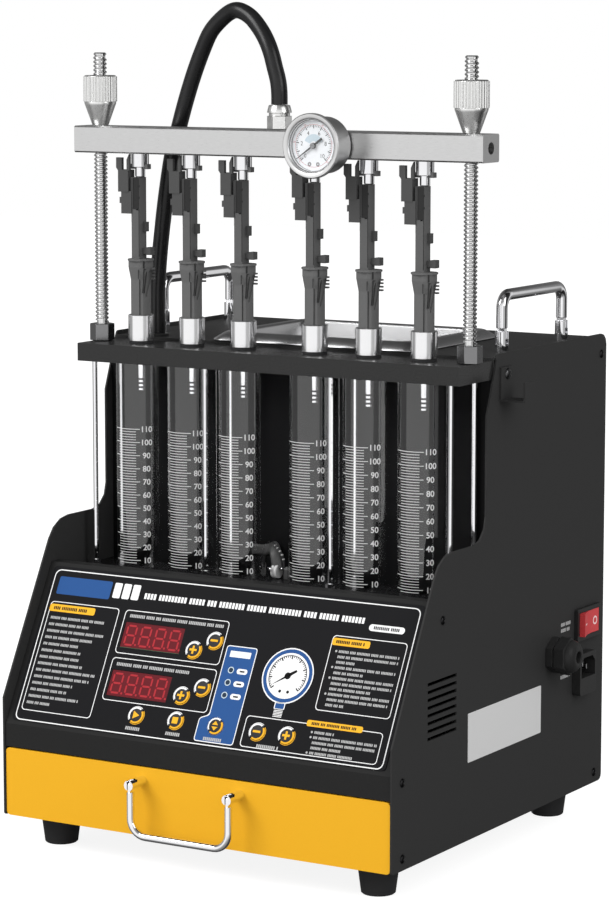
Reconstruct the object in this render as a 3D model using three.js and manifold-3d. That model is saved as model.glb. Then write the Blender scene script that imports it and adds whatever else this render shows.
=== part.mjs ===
// Fuel injector cleaner and tester, in millimetres: X to the right, Y to the back, Z up.
// Six injectors stand in chrome cups over six graduated tubes, under a fuel rail on two threaded rods.
// Places are worked out with X = 0 in the middle, Y = 0 at the front of the side panels and Z = 0 at the
// floor, and the last lines centre the whole part over its box.
import * as THREE from 'three';
import { mergeVertices } from 'three/addons/utils/BufferGeometryUtils.js';
import Module from 'manifold-3d';

const wasm = await Module();
wasm.setup();

// Clearances and stock sizes that many pieces share
const gap = 0.3;
const runningGap = 0.6;
const overrun = 3;
const weld = 0.5;
const sheet = 1.5;
const mergeDistance = 1e-4;
const arcSteps = 3;
const roundSides = 20;
const boltSides = 12;
const pinSides = 8;

// Cabinet and side panels
const cabinetWidth = 343.8;
const cabinetDepth = 341.3;
const panelFrontHeight = 92;
const consoleLean = 0.538;
const shoulderHeight = 222.2;
const shoulderRound = 30;
const wallSetback = 140.5;
const wallFillet = 19;
const corniceDrop = 45.5;
const corniceLean = 16.8;
const panelHeight = 361.5;
const panelFrontRound = 2;
const panelTopRound = 3;
const panelRearTopRound = 9;
const panelRearBottomRound = 5;

// Feet
const footHeight = 24.5;
const footTopRadius = 16;
const footBottomRadius = 12.8;
const footScrewRadius = 2.2;
const footRecessRadius = 6;
const footRecessDepth = 8;
const footSideInset = 30.2;
const footFrontInset = 33.8;
const footRearInset = 35.3;

// Vent slots, hook bracket and fittings on the right side
const ventRows = 8;
const ventPitch = 5.8;
const ventWidth = 44;
const ventSlotHeight = 2.6;
const ventCentreY = 74;
const ventCentreZ = 134;
const hookWidth = 18;
const hookFrontY = 159.8;
const hookDrop = 36;
const hookPlateHeight = 25.5;
const hookReach = 21.5;
const hookTabHeight = 15.5;
const hookSheet = 1.5;
const bezelWidth = 41;
const bezelHeight = 25.7;
const bezelProud = 3;
const bezelWall = 2.2;
const bezelBodyDepth = 20;
const bezelRearInset = 31.1;
const bezelCentreZ = 158.6;
const rockerPivotDepth = 2;
const rockerProud = 4;
const rockerTilt = 7;
const rockerSkirt = 4;
const inletWidth = 28.6;
const inletHeight = 33.5;
const inletProud = 7;
const inletBodyDepth = 24;
const inletRearInset = 40.3;
const inletCentreZ = 119.7;
const inletMouthWidth = 24;
const inletMouthHeight = 16;
const inletMouthRise = 5.2;
const inletMouthDepth = 18;
const inletMouthChamfer = 4.5;
const inletPinWidth = 2;
const inletPinHeight = 4;
const inletPinSpacing = 7;
const inletPinDrop = 3;
const inletRound = 3;
const glandRearInset = 88.7;
const glandCentreZ = 142.1;
const glandAcrossFlats = 25.4;
const glandHexLength = 6;
const glandBodyRadius = 12.6;
const glandBodyLength = 18;
const glandDomeLength = 4.6;
const glandDomeRadius = 8;
const glandBore = 9;
const glandStubRadius = 9.6;
const glandStubLength = 12;

// Base tray, rear panel and drawer
const trayFlange = 14;
const runnerWidth = 7;
const runnerHeight = 3.4;
const runnerInset = 22;
const rearPanelTopDrop = 5;
const louvreRows = 9;
const louvrePitch = 11;
const louvreWidth = 96;
const louvreSlotHeight = 3;
const louvreSpacing = 150;
const louvreCentreHeight = 170;
const drawerHeight = 52.9;
const drawerSideGap = 0.6;
const drawerFrontY = 1;
const drawerPanDepth = 8;
const drawerPanRound = 3;
const drawerBoxInset = 10.1;
const drawerBoxRearGap = 12.7;
const drawerBoxHeight = 44.5;
const drawerBoxWall = 1.2;
const bailHalfWidth = 43.2;
const bailRodRadius = 2.95;
const bailPlane = 16.5;
const bailPivotRise = 42.5;
const bailDrop = 38;
const bailBend = 13;
const bailPostRadius = 4;
const bailPostPast = 2.8;
const bailSlot = 2.8;
const bailTongue = 2.2;
const bailTongueHalf = 2.2;
const bailShoulder = 5.2;
const bailPin = 1.1;

// Console
const consoleFrontY = 1;
const lipReveal = 1.1;
const lipHeight = 18;
const lipReturn = 12;
const slantRise = 116.5;
const ledgeDepth = 10.7;
const ledgeDrop = 15;
const overlayInset = 5.1;
const overlayLow = 3.5;
const overlayHigh = 129;
const overlayThickness = 0.5;
const overlayRound = 3;
const windowWidth = 54;
const windowHeight = 20.7;
const windowX = -59.2;
const windowLevels = [80.6, 42.3];
const keyRadius = 6.4;
const keyFlange = 0.8;
const keyFlangeThickness = 1.6;
const keyProud = 0.7;
const keyDome = 0.5;
const keyTravel = 0.6;
const keySides = 12;
const keyPlaces = [
  ['key_value_up', -19.8, 75],
  ['key_value_down', -3.6, 84],
  ['key_count_up', -19.8, 39],
  ['key_count_down', -3.6, 47],
  ['key_start', -54.4, 19.4],
  ['key_stop', -19, 19.4],
  ['key_select', 16.3, 19.4],
  ['key_pressure_down', 52.8, 19.4],
  ['key_pressure_up', 78.1, 19.4],
];
const boardLeft = -95;
const boardRight = 92;
const boardLow = 8;
const boardHigh = 100;
const boardThickness = 1.6;
const boardDepth = 8;
const boardPostRadius = 2.5;
const boardPostInset = 5;
const switchRadius = 1.8;
const displayRecess = 0.4;

// Test bench: tube plate, tubes, bench plate, cups
const tubePlateTop = 204.5;
const tubePlateThickness = 4;
const columnShares = [-0.74309, -0.46384, -0.18754, 0.18754, 0.46384, 0.74309];
const columnY = 126;
const tubeShare = 0.42554;
const tubeWall = 2.5;
const tubeFloor = 3;
const tubeLip = 1;
const tubeDrain = 3;
const tubeSides = 20;
const propRadius = 2;
const propCollarRadius = 4;
const propCollarHeight = 5;
const propShares = [-0.93416, -0.32922, 0.32922, 0.93416];
const propFrontY = 108.8;
const propRearY = 145.7;
const benchDrop = 19;
const benchThickness = 14;
const benchSideGap = 0.4;
const benchFrontY = 100.8;
const benchRearY = 152.7;
const cupRadius = 10.1;
const cupHeight = 21;
const cupBase = 1.5;
const cupBaseRadius = 9.2;
const cupWall = 1.6;
const cupSeatDepth = 11;
const cupDrip = 3;

// Upper shell: bench wall and deck in one bent sheet
const wallFrontY = 149;
const wallBottom = 196;
const wallJog = 4;
const deckDrop = 3.1;
const deckRearInset = 2.3;
const deckFlange = 12;

// Rail, rods, nuts
const railEnd = 16.35;
const railFrontY = 114.5;
const railDepth = 25.2;
const railRise = 147.8;
const railHeight = 20.8;
const railChamfer = 1.2;
const railPortRadius = 4.6;
const railPortDepth = 16;
const rodInset = 5.85;
const rodY = 127.1;
const rodRadius = 5.25;
const rodRise = 56.6;
const rodChamfer = 1;
const couplingHeight = 13.3;
const couplingAcrossFlats = 17;
const nutRadius = 13.25;
const nutToothDepth = 0.9;
const nutTeeth = 30;
const nutConeHeight = 17.4;
const nutKnurlHeight = 21.3;
const nutFootRadius = 6.4;
const adapterRadius = 6.3;
const adapterLength = 10.7;
const neckRadius = 3.9;
const neckLength = 7.4;
const clipLeft = 7;
const clipRight = 8.5;
const clipHalfDepth = 2.6;
const clipHeight = 3.9;
const clipDrop = 8.2;

// Gauge
const gaugeX = 50;
const gaugeRise = 10.7;
const gaugeStem = 1.2;
const gaugeStemRadius = 7;
const gaugeDepth = 24;
const gaugeRadius = 24.2;
const gaugeBezelDepth = 4;
const gaugeCaseRadius = 21.1;
const gaugeRimWidth = 4.6;
const gaugeLensRadius = 19.3;
const gaugeLensThickness = 1.2;
const gaugeLensRecess = 0.6;
const gaugeDialRadius = 18.4;
const gaugeDialDepth = 5.4;
const needleLength = 17.4;
const needleTail = 9.5;
const needleWidth = 0.9;
const needleThickness = 0.6;
const needleRest = 215;
const needleHub = 2.2;

// Fuel hose and its fitting on the rail
const fittingHexAcross = 19;
const fittingHexHeight = 10;
const fittingRingRadius = 8;
const fittingRingHeight = 2.3;
const ferruleLowRadius = 9.3;
const ferruleTopRadius = 8.2;
const ferruleHeight = 5.7;
const hoseRadius = 6.25;
const hoseSides = 8;
const hoseSteps = 36;
const hoseCollarRadius = 9;
const hoseCollarHeight = 2.5;
const hosePort = 4;
const hoseRoute = [
  [0, 127.1, 568.3], [0, 127.1, 574], [-0.3, 127.1, 580], [-1.6, 127.4, 587], [-4.6, 128, 596], [-9, 129, 608.3],
  [-15.9, 131, 619.7], [-25.1, 133, 630], [-33.4, 135, 635.7], [-43.1, 137, 638.8], [-52, 139, 637],
  [-63, 141, 630], [-71.6, 142, 621.5], [-79.5, 144, 609], [-87.5, 146, 594], [-94.8, 148, 578.5],
  [-101.1, 149.5, 563], [-107.4, 151.5, 547], [-114.9, 153.5, 526.3], [-122, 156, 497], [-127.5, 158.5, 471],
  [-131.8, 160.5, 447], [-134.7, 161.7, 422], [-135.3, 162, 405], [-135.3, 162, 395], [-135.3, 162, 385.7],
];

// Folding handles on the deck
const handleInset = 18.4;
const handleFrontShare = 0.241398;
const handleSpacingShare = 0.53871;
const handleRod = 4.4;
const handleTop = 47.1;
const handleBend = 10;
const handlePostRadius = 5.15;
const handlePostHeight = 16;
const handlePivotRise = 9.5;
const handleSlot = 4.4;
const handleTongue = 3.8;
const handleTongueHalf = 3.4;
const handleShoulder = 8.3;
const handlePin = 1.25;
const rodSides = 10;

// Ultrasonic tank and transducer
const bathX = 11.5;
const bathPlaceShare = 0.375269;
const bathFlangeWidth = 185;
const bathDepthShare = 0.755376;
const bathFlangeRound = 10;
const bathRimHeight = 6.8;
const bathSideLedge = 15;
const bathEndLedge = 14.25;
const bathRound = 14;
const bathBevel = 7;
const bathWall = 1;
const bathHeight = 60;
const transducerRadius = 22;
const transducerFootHeight = 10;
const transducerStackRadius = 17;
const transducerStackHeight = 20;
const transducerBoltRadius = 5;
const transducerBoltHeight = 8;

// Drain pipe on the tube plate
const drainX = -3;
const drainY = 129.5;
const drainUnionRadius = 5.6;
const drainUnionHeight = 12;
const drainFlangeRadius = 7;
const drainFlangeHeight = 1.6;
const drainPipeRadius = 4.6;
const drainTop = 22;
const drainReach = 12;

// Fuel tank, fuel pump and power supply behind the drawer
const innerPieceRearGap = 5;
const innerPieceDepth = 72;
const fuelTankInset = 8.1;
const pumpSideGap = 5;
const fuelTankHeight = 184;
const fuelTankRound = 12;
const fuelNeckRadius = 14;
const fuelNeckHeight = 12;
const pumpX = 8;
const pumpRadius = 25;
const pumpHeight = 110;
const pumpShoulder = 6;
const pumpPortRadius = 4;
const pumpPortHeight = 14;
const supplySideGap = 9;
const supplyInset = 20.1;
const supplyHeight = 54;
const supplyTerminal = 12;

// Injectors, measured from the cup axis and from the seat in the cup
const holderSize = 13.6;
const holderRound = 4;
const holderBaseRadius = 7.7;
const holderBaseHeight = 8;
const holderNarrowHeight = 38;
const holderWideHeight = 47.9;
const holderWideSize = 16.8;
const holderWideRound = 5;
const holderFlangeHeight = 52.7;
const holderHeight = 54.2;
const holderFlangeRadius = 10.25;
const ratchetTeeth = 4;
const ratchetPitch = 2.6;
const ratchetProud = 0.8;
const ratchetTooth = 1.3;
const ratchetWidth = 5;
const windowCutDepth = 1;
const bodyLeft = -5.1;
const bodyWidth = 7.2;
const bodyDepth = 10;
const grooveWidth = 2.6;
const grooveInset = 0.4;
const grooveDepth = 1.6;
const grooveBottom = 92;
const plugLeft = -16.5;
const plugWidth = 9.4;
const plugFrontY = -6.5;
const plugDepth = 9;
const plugBottom = 106.2;
const plugTop = 123.2;
const prongWidth = 5.2;
const prongDepth = 3;
const prongFlare = 1.7;
const prongTop = 132.7;
const latchWidth = 2.6;
const latchDepth = 2.3;
const latchTop = 135.6;
const latchChamfer = 4.5;
const armLeft = -14;
const armFrontY = -6;
const armDepth = 8;
const armBottom = 89.3;
const armNotchHeight = 4.8;
const armNotch = 1.5;
const lugReach = 2.5;
const lugBottom = 75.3;
const lugHeight = 7.5;
const strapReach = 7.6;
const strapBottom = 58.2;
const strapHeight = 4.2;
const strapLug = 4.3;
const strapLugHeight = 6;
const strapDepth = 6;

// Plain helpers
const X = new THREE.Vector3(1, 0, 0);
const Y = new THREE.Vector3(0, 1, 0);
const Z = new THREE.Vector3(0, 0, 1);
const outlineOnSide = new THREE.Matrix4().makeBasis(Y, Z, X);
const radians = THREE.MathUtils.degToRad;

// A geometry with positions only, its shared corners merged and its faces pointing out
function closed(geometry) {
  const bare = new THREE.BufferGeometry();
  bare.setAttribute('position', geometry.getAttribute('position').clone());
  if (geometry.index) bare.setIndex(geometry.index.clone());
  const merged = mergeVertices(bare, mergeDistance);
  const points = merged.getAttribute('position');
  const corners = [0, 1, 2].map(() => new THREE.Vector3());
  const faces = [];
  let volume = 0;
  for (let i = 0; i < merged.index.count; i += 3) {
    const face = [0, 1, 2].map((k) => merged.index.getX(i + k));
    if (new Set(face).size < 3) continue;
    faces.push(face);
    corners.forEach((corner, k) => corner.fromBufferAttribute(points, face[k]));
    volume += corners[0].dot(corners[1].cross(corners[2]));
  }
  if (volume < 0) faces.forEach((face) => face.reverse());
  merged.setIndex(faces.flat());
  return merged;
}

function toSolid(geometry) {
  const body = closed(geometry);
  return new wasm.Manifold(new wasm.Mesh({
    numProp: 3,
    vertProperties: new Float32Array(body.getAttribute('position').array),
    triVerts: new Uint32Array(body.index.array),
  }));
}

function toGeometry(solid) {
  const mesh = solid.getMesh();
  const geometry = new THREE.BufferGeometry();
  geometry.setAttribute('position', new THREE.BufferAttribute(new Float32Array(mesh.vertProperties), 3));
  geometry.setIndex(Array.from(mesh.triVerts));
  return geometry;
}

function join(...forms) {
  return toGeometry(forms.map(toSolid).reduce((whole, next) => whole.add(next)));
}

function cut(form, ...tools) {
  return toGeometry(tools.map(toSolid).reduce((rest, tool) => rest.subtract(tool), toSolid(form)));
}

function at(geometry, x, y, z) {
  return geometry.clone().translate(x, y, z);
}

// Turns a form built along +Z to lie along +X or, for the front, along -Y
const towardRight = (geometry) => geometry.clone().rotateY(Math.PI / 2);
const towardFront = (geometry) => geometry.clone().rotateX(Math.PI / 2);

// A closed outline whose corners [a, b, radius] are rounded by arcs
function rounded(corners, steps = arcSteps) {
  return corners.flatMap(([a, b, radius], i) => {
    const corner = new THREE.Vector2(a, b);
    if (!radius) return [corner];
    const neighbour = (k) => new THREE.Vector2(...corners[(i + k + corners.length) % corners.length].slice(0, 2));
    const before = neighbour(-1).sub(corner);
    const after = neighbour(1).sub(corner);
    const half = Math.acos(THREE.MathUtils.clamp(before.dot(after) / (before.length() * after.length()), -1, 1)) / 2;
    const reach = Math.min(radius / Math.tan(half), before.length() / 2, after.length() / 2);
    const first = before.setLength(reach).add(corner);
    const last = after.setLength(reach).add(corner);
    const middle = first.clone().add(last).multiplyScalar(1 / 2);
    const inward = middle.clone().sub(corner);
    const centre = corner.clone().addScaledVector(inward, (reach * reach) / (Math.cos(half) * reach) / inward.length());
    const from = first.clone().sub(centre);
    const turn = from.angleTo(last.clone().sub(centre)) * Math.sign(from.cross(last.clone().sub(centre)));
    return Array.from({ length: steps + 1 }, (_, k) =>
      from.clone().rotateAround(new THREE.Vector2(), (turn * k) / steps).add(centre));
  });
}

function rectangle(a, b, width, height, radius = 0, steps = arcSteps) {
  const [u, v] = [width / 2, height / 2];
  return rounded([[a - u, b - v, radius], [a + u, b - v, radius], [a + u, b + v, radius], [a - u, b + v, radius]], steps);
}

function circle(a, b, radius, sides) {
  return Array.from({ length: sides }, (_, k) => {
    const angle = (2 * Math.PI * k) / sides;
    return new THREE.Vector2(a + radius * Math.cos(angle), b + radius * Math.sin(angle));
  });
}

// A flat outline with holes, thickened along +Z
function plate(outer, thickness, holes = []) {
  const shape = new THREE.Shape(outer);
  shape.holes = holes.map((hole) => new THREE.Path(hole));
  return new THREE.ExtrudeGeometry(shape, { depth: thickness, steps: 1, bevelEnabled: false });
}

// A plate whose outline is drawn in (y, z), thickened along +X from x
function sidePlate(outer, x, thickness, holes = []) {
  return plate(outer, thickness, holes).applyMatrix4(outlineOnSide).translate(x, 0, 0);
}

function block(x0, x1, y0, y1, z0, z1) {
  const box = new THREE.BoxGeometry(x1 - x0, y1 - y0, z1 - z0);
  return box.translate((x0 + x1) / 2, (y0 + y1) / 2, (z0 + z1) / 2);
}

// A profile of [radius, height] turned about +Z
function turned(profile, sides = roundSides) {
  return new THREE.LatheGeometry(profile.map(([r, z]) => new THREE.Vector2(r, z)), sides).rotateX(Math.PI / 2);
}

function cylinder(radius, length, sides = roundSides) {
  return turned([[0, 0], [radius, 0], [radius, length], [0, length]], sides);
}

function prism(acrossFlats, length, sides = 6) {
  return plate(circle(0, 0, acrossFlats / 2 / Math.cos(Math.PI / sides), sides), length);
}

// A body through rings of points, closed by flat ends
function loft(rings) {
  const count = rings[0].length;
  const last = (rings.length - 1) * count;
  const index = [];
  for (let ring = 0; ring < last; ring += count) {
    for (let i = 0; i < count; i++) {
      const next = (i + 1) % count;
      index.push(ring + i, ring + next, ring + count + next, ring + i, ring + count + next, ring + count + i);
    }
  }
  for (let i = 1; i + 1 < count; i++) index.push(0, i + 1, i, last, last + i, last + i + 1);
  const geometry = new THREE.BufferGeometry();
  geometry.setAttribute('position', new THREE.Float32BufferAttribute(rings.flat(2), 3));
  geometry.setIndex(index);
  return geometry;
}

const ringOf = (outline, z) => outline.map((point) => [point.x, point.y, z]);

// A round rod bent along points in space
function bentRod(points, radius, sides = rodSides) {
  const path = points.map((point) => new THREE.Vector3(...point));
  let side = null;
  return loft(path.map((point, i) => {
    const before = i ? point.clone().sub(path[i - 1]).normalize() : path[1].clone().sub(point).normalize();
    const after = i + 1 < path.length ? path[i + 1].clone().sub(point).normalize() : before;
    const tangent = before.clone().add(after).normalize();
    side = side ?? new THREE.Vector3(tangent.y, tangent.z, tangent.x).cross(tangent);
    side = side.clone().addScaledVector(tangent, -side.dot(tangent)).normalize();
    const up = tangent.clone().cross(side);
    return Array.from({ length: sides }, (_, k) => {
      const angle = (2 * Math.PI * k) / sides;
      return point.clone().addScaledVector(side, radius * Math.cos(angle))
        .addScaledVector(up, radius * Math.sin(angle)).toArray();
    });
  }));
}

// The points of a path whose corners [x, y, z] are bent by one radius
function bentPath(corners, radius, steps = arcSteps + 2) {
  const points = corners.map((corner) => new THREE.Vector3(...corner));
  return points.flatMap((corner, i) => {
    if (i === 0 || i === points.length - 1) return [corner.toArray()];
    const before = points[i - 1].clone().sub(corner).normalize();
    const after = points[i + 1].clone().sub(corner).normalize();
    const half = before.angleTo(after) / 2;
    const reach = radius / Math.tan(half);
    const centre = corner.clone().addScaledVector(before.clone().add(after).normalize(), radius / Math.sin(half));
    const from = corner.clone().addScaledVector(before, reach).sub(centre);
    const turnAxis = from.clone().cross(corner.clone().addScaledVector(after, reach).sub(centre)).normalize();
    return Array.from({ length: steps + 1 }, (_, k) =>
      from.clone().applyAxisAngle(turnAxis, ((Math.PI - 2 * half) * k) / steps).add(centre).toArray());
  });
}

// The outline of a bent sheet: a path and the same path one thickness to its right
function bentSheet(path, thickness) {
  const heading = (p, q) => new THREE.Vector2(q[0] - p[0], q[1] - p[1]).normalize();
  const inner = path.map((point, i) => {
    const before = i ? heading(path[i - 1], point) : heading(point, path[1]);
    const after = i + 1 < path.length ? heading(point, path[i + 1]) : before;
    const across = new THREE.Vector2(before.y + after.y, -before.x - after.x);
    return across.multiplyScalar(thickness / (1 + before.dot(after))).add(new THREE.Vector2(...point));
  });
  return [...path.map((point) => new THREE.Vector2(...point)), ...inner.reverse()];
}

const part = new THREE.Group();
const assembly = new THREE.Group();
part.add(assembly);

// Looks
const look = (color, roughness, metalness) =>
  new THREE.MeshStandardMaterial({ color, roughness, metalness, flatShading: true });
const blackPaint = look('#2e2e2e', 0.6, 0.1);
const glossBlack = look('#1c1c1e', 0.2, 0.1);
const yellowPaint = look('#ffbc2c', 0.5, 0);
const film = look('#26282c', 0.5, 0);
const keyPlastic = look('#e8b840', 0.5, 0);
const boardGreen = look('#7a1c20', 0.5, 0);
const clearPlastic = look('#c8d4d8', 0.1, 0);
const chrome = look('#d8d8d8', 0.15, 1);
const steel = look('#b8b8b8', 0.35, 1);
const aluminium = look('#c0c0c0', 0.4, 0.8);
const darkMetal = look('#3c3c40', 0.4, 0.7);
const injectorPlastic = look('#606060', 0.6, 0);
const blackPlastic = look('#262626', 0.6, 0);
const rubber = look('#303030', 0.8, 0);
const red = look('#be3c3c', 0.4, 0);
const glass = look('#dfe8ec', 0.05, 0);
const tankPlastic = look('#d8d8d0', 0.5, 0);

function piece(name, geometry, material, x = 0, y = 0, z = 0) {
  const mesh = new THREE.Mesh(closed(geometry), material);
  mesh.name = name;
  mesh.position.set(x, y, z);
  assembly.add(mesh);
  return mesh;
}

// Levels and half widths that the pieces share
const panelHalf = cabinetWidth / 2;
const innerHalf = panelHalf - sheet;
const fitHalf = innerHalf - gap;
const panelBottom = footHeight;
const panelTop = panelBottom + panelHeight;
const deckTop = panelTop - deckDrop;
const benchBottom = panelTop - benchDrop;
const benchHalf = fitHalf - benchSideGap;
const drawerBottom = panelBottom;
const drawerTop = drawerBottom + drawerHeight;
const lipBottom = drawerTop + lipReveal;
const creaseZ = lipBottom + lipHeight;
const slantTopZ = creaseZ + slantRise;
const slantTopY = consoleFrontY + slantRise * consoleLean;
const ledgeBackY = slantTopY + ledgeDepth;
const benchTop = benchBottom + benchThickness;
const deckFrontY = wallFrontY + wallJog;
const deckRearY = cabinetDepth - deckRearInset;
const deckDepth = deckRearY - deckFrontY;
const innerPieceFrontY = deckRearY - innerPieceRearGap - innerPieceDepth;
const drawerBoxFrontY = drawerFrontY + drawerPanDepth + gap;
const drawerBoxLength = innerPieceFrontY - drawerBoxRearGap - drawerBoxFrontY;
const bathY = deckFrontY + bathPlaceShare * deckDepth;
const bathFlangeDepth = bathDepthShare * deckDepth;
const bathWidth = bathFlangeWidth - 2 * bathSideLedge;
const bathDepth = bathFlangeDepth - 2 * bathEndLedge;
const handleFrontY = deckFrontY + handleFrontShare * deckDepth;
const handleSpacing = handleSpacingShare * deckDepth;
const bezelCentreY = cabinetDepth - bezelRearInset;
const inletCentreY = cabinetDepth - inletRearInset;
const glandCentreY = cabinetDepth - glandRearInset;
const railBottom = benchTop + railRise;
const rodX = fitHalf - rodInset;
const railHalf = rodX + railEnd;
const columnXs = columnShares.map((share) => share * fitHalf);
const propXs = propShares.map((share) => share * fitHalf);
const tubeRadius = tubeShare * (columnXs[4] - columnXs[3]);
const tubeBore = tubeRadius - tubeWall;
const handleX = panelHalf - handleInset;
const overlayHalf = fitHalf - overlayInset;
const drawerBoxHalf = fitHalf - drawerBoxInset;
const cupTop = benchTop + cupBase + cupHeight;
const seatZ = cupTop - cupSeatDepth + gap;
const bodyTop = railBottom - adapterLength - neckLength - gap - seatZ;
const railTop = railBottom + railHeight;
const rodTop = railTop + rodRise;
const trayTop = footHeight + gap + sheet;

// Side panels
const shoulderZ = panelBottom + shoulderHeight;
const slantFootZ = panelBottom + panelFrontHeight;
const panelOutline = rounded([
  [0, panelBottom, panelFrontRound],
  [0, slantFootZ, 0],
  [(shoulderZ - slantFootZ) * consoleLean, shoulderZ, shoulderRound],
  [wallSetback, shoulderZ, wallFillet],
  [wallSetback, panelTop - corniceDrop, 0],
  [wallSetback + corniceLean, panelTop, panelTopRound],
  [cabinetDepth, panelTop, panelRearTopRound],
  [cabinetDepth, panelBottom, panelRearBottomRound],
]);
piece('side_panel_left', sidePlate(panelOutline, -panelHalf, sheet), blackPaint);

const ventHoles = Array.from({ length: ventRows }, (_, row) => rectangle(
  ventCentreY, ventCentreZ + (row - (ventRows - 1) / 2) * ventPitch, ventWidth, ventSlotHeight));
const bezelBodyWidth = bezelWidth - 2 * bezelWall;
const bezelBodyHeight = bezelHeight - 2 * bezelWall;
const inletBodyWidth = inletWidth - 2 * inletRound / 2;
const inletBodyHeight = inletHeight - 2 * inletRound / 2;
const rightHoles = [
  ...ventHoles,
  rectangle(bezelCentreY, bezelCentreZ, bezelBodyWidth + 2 * gap, bezelBodyHeight + 2 * gap),
  rectangle(inletCentreY, inletCentreZ, inletBodyWidth + 2 * gap, inletBodyHeight + 2 * gap),
  circle(glandCentreY, glandCentreZ, glandStubRadius + gap, roundSides),
];
const hookBottomZ = panelTop - hookDrop;
const hookPath = [
  [panelHalf - weld, hookBottomZ + hookPlateHeight],
  [panelHalf + hookSheet, hookBottomZ + hookPlateHeight],
  [panelHalf + hookSheet, hookBottomZ + hookSheet],
  [panelHalf + hookReach - hookSheet, hookBottomZ + hookSheet],
  [panelHalf + hookReach - hookSheet, hookBottomZ + hookTabHeight],
  [panelHalf + hookReach, hookBottomZ + hookTabHeight],
  [panelHalf + hookReach, hookBottomZ],
  [panelHalf - weld, hookBottomZ],
].map((corner) => new THREE.Vector2(...corner));
const hook = plate(hookPath, hookWidth).rotateX(Math.PI / 2).translate(0, hookFrontY + hookWidth, 0);
piece('side_panel_right', join(sidePlate(panelOutline, innerHalf, sheet, rightHoles), hook), blackPaint);

// Feet and base tray with the drawer's runners
const foot = turned([
  [footScrewRadius, footHeight],
  [footScrewRadius, footRecessDepth],
  [footRecessRadius, footRecessDepth],
  [footRecessRadius, 0],
  [footBottomRadius, 0],
  [footTopRadius, footHeight],
  [footScrewRadius, footHeight],
], boltSides);
for (const [sideName, sign] of [['left', -1], ['right', 1]]) {
  piece(`foot_front_${sideName}`, foot, rubber, sign * (panelHalf - footSideInset), footFrontInset, 0);
  piece(`foot_rear_${sideName}`, foot, rubber, sign * (panelHalf - footSideInset), cabinetDepth - footRearInset, 0);
}
const trayBottom = trayTop - sheet;
const trayFrontY = drawerFrontY + drawerPanDepth + runningGap;
const trayProfile = bentSheet([
  [-fitHalf, trayTop + trayFlange], [-fitHalf, trayBottom], [fitHalf, trayBottom], [fitHalf, trayTop + trayFlange],
].reverse(), sheet);
const trayShell = plate(trayProfile, deckRearY - trayFrontY).rotateX(Math.PI / 2).translate(0, deckRearY, 0);
const runners = [-1, 1].map((sign) => {
  const middle = sign * (drawerBoxHalf - runnerInset);
  return block(middle - runnerWidth / 2, middle + runnerWidth / 2, trayFrontY + overrun,
    trayFrontY + drawerBoxLength, trayTop - weld, trayTop + runnerHeight);
});
piece('base_tray', join(trayShell, ...runners), blackPaint);

// Rear panel with two fields of louvre slots
const rearPanelTop = deckTop - sheet;
const louvres = [-1, 1].flatMap((sign) => Array.from({ length: louvreRows }, (_, row) => rectangle(
  (sign * louvreSpacing) / 2, panelBottom + louvreCentreHeight + (row - (louvreRows - 1) / 2) * louvrePitch,
  louvreWidth, louvreSlotHeight)));
const rearOutline = rectangle(0, (trayTop + gap + rearPanelTop) / 2, 2 * fitHalf, rearPanelTop - trayTop - gap);
const louvreCuts = louvres.map((louvre) => plate(louvre, 3 * sheet).translate(0, 0, -sheet));
piece('rear_panel', cut(plate(rearOutline, sheet), ...louvreCuts).rotateX(Math.PI / 2), blackPaint,
  0, deckRearY + gap + sheet, 0);

// Upper shell: wall behind the tubes, step under the bench plate, deck, with the posts and the hose collar
const wallPath = [
  [wallFrontY, wallBottom],
  [wallFrontY, benchBottom - gap],
  [wallFrontY + wallJog, benchBottom - gap],
  [wallFrontY + wallJog, deckTop],
  [deckRearY, deckTop],
  [deckRearY, deckTop - deckFlange],
];
const bathOpening = plate(rectangle(bathX, bathY, bathWidth + 2 * (bathWall + gap), bathDepth + 2 * (bathWall + gap),
  bathRound + bathWall + gap), 2 * sheet).translate(0, 0, deckTop - 3 * sheet / 2);
const [hoseEndX, hoseEndY] = hoseRoute[hoseRoute.length - 1];
const hoseCollar = turned([
  [hosePort, -sheet], [hoseCollarRadius, -sheet], [hoseCollarRadius, hoseCollarHeight], [hosePort, hoseCollarHeight],
  [hosePort, -sheet]], boltSides).translate(hoseEndX, hoseEndY, deckTop);
const hoseHole = at(cylinder(hosePort, 3 * sheet, boltSides), hoseEndX, hoseEndY, deckTop - 2 * sheet);
const postSlotLow = handlePivotRise - handleTongueHalf - 2 * gap;

function handlePost(sign, y) {
  const post = cylinder(handlePostRadius, handlePostHeight + weld, boltSides).translate(0, 0, -weld);
  const inner = -handleTongueHalf - gap;
  const slot = block(inner, handlePostRadius + overrun, -handleSlot / 2, handleSlot / 2,
    postSlotLow, handlePostHeight + overrun);
  const pin = cylinder(handlePin, 2 * handlePostRadius - 2 * weld, pinSides).rotateX(Math.PI / 2)
    .translate(0, handlePostRadius - weld, handlePivotRise);
  const placed = join(cut(post, slot), pin);
  if (sign < 0) placed.rotateZ(Math.PI);
  return placed.translate(sign * handleX, y, deckTop);
}

const handleRearY = handleFrontY + handleSpacing;
const posts = [-1, 1].flatMap((sign) => [handleFrontY, handleRearY].map((y) => handlePost(sign, y)));
const upperShell = sidePlate(bentSheet(wallPath, sheet), -fitHalf, 2 * fitHalf);
piece('upper_shell', join(cut(upperShell, bathOpening, hoseHole), hoseCollar, ...posts), blackPaint);

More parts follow.
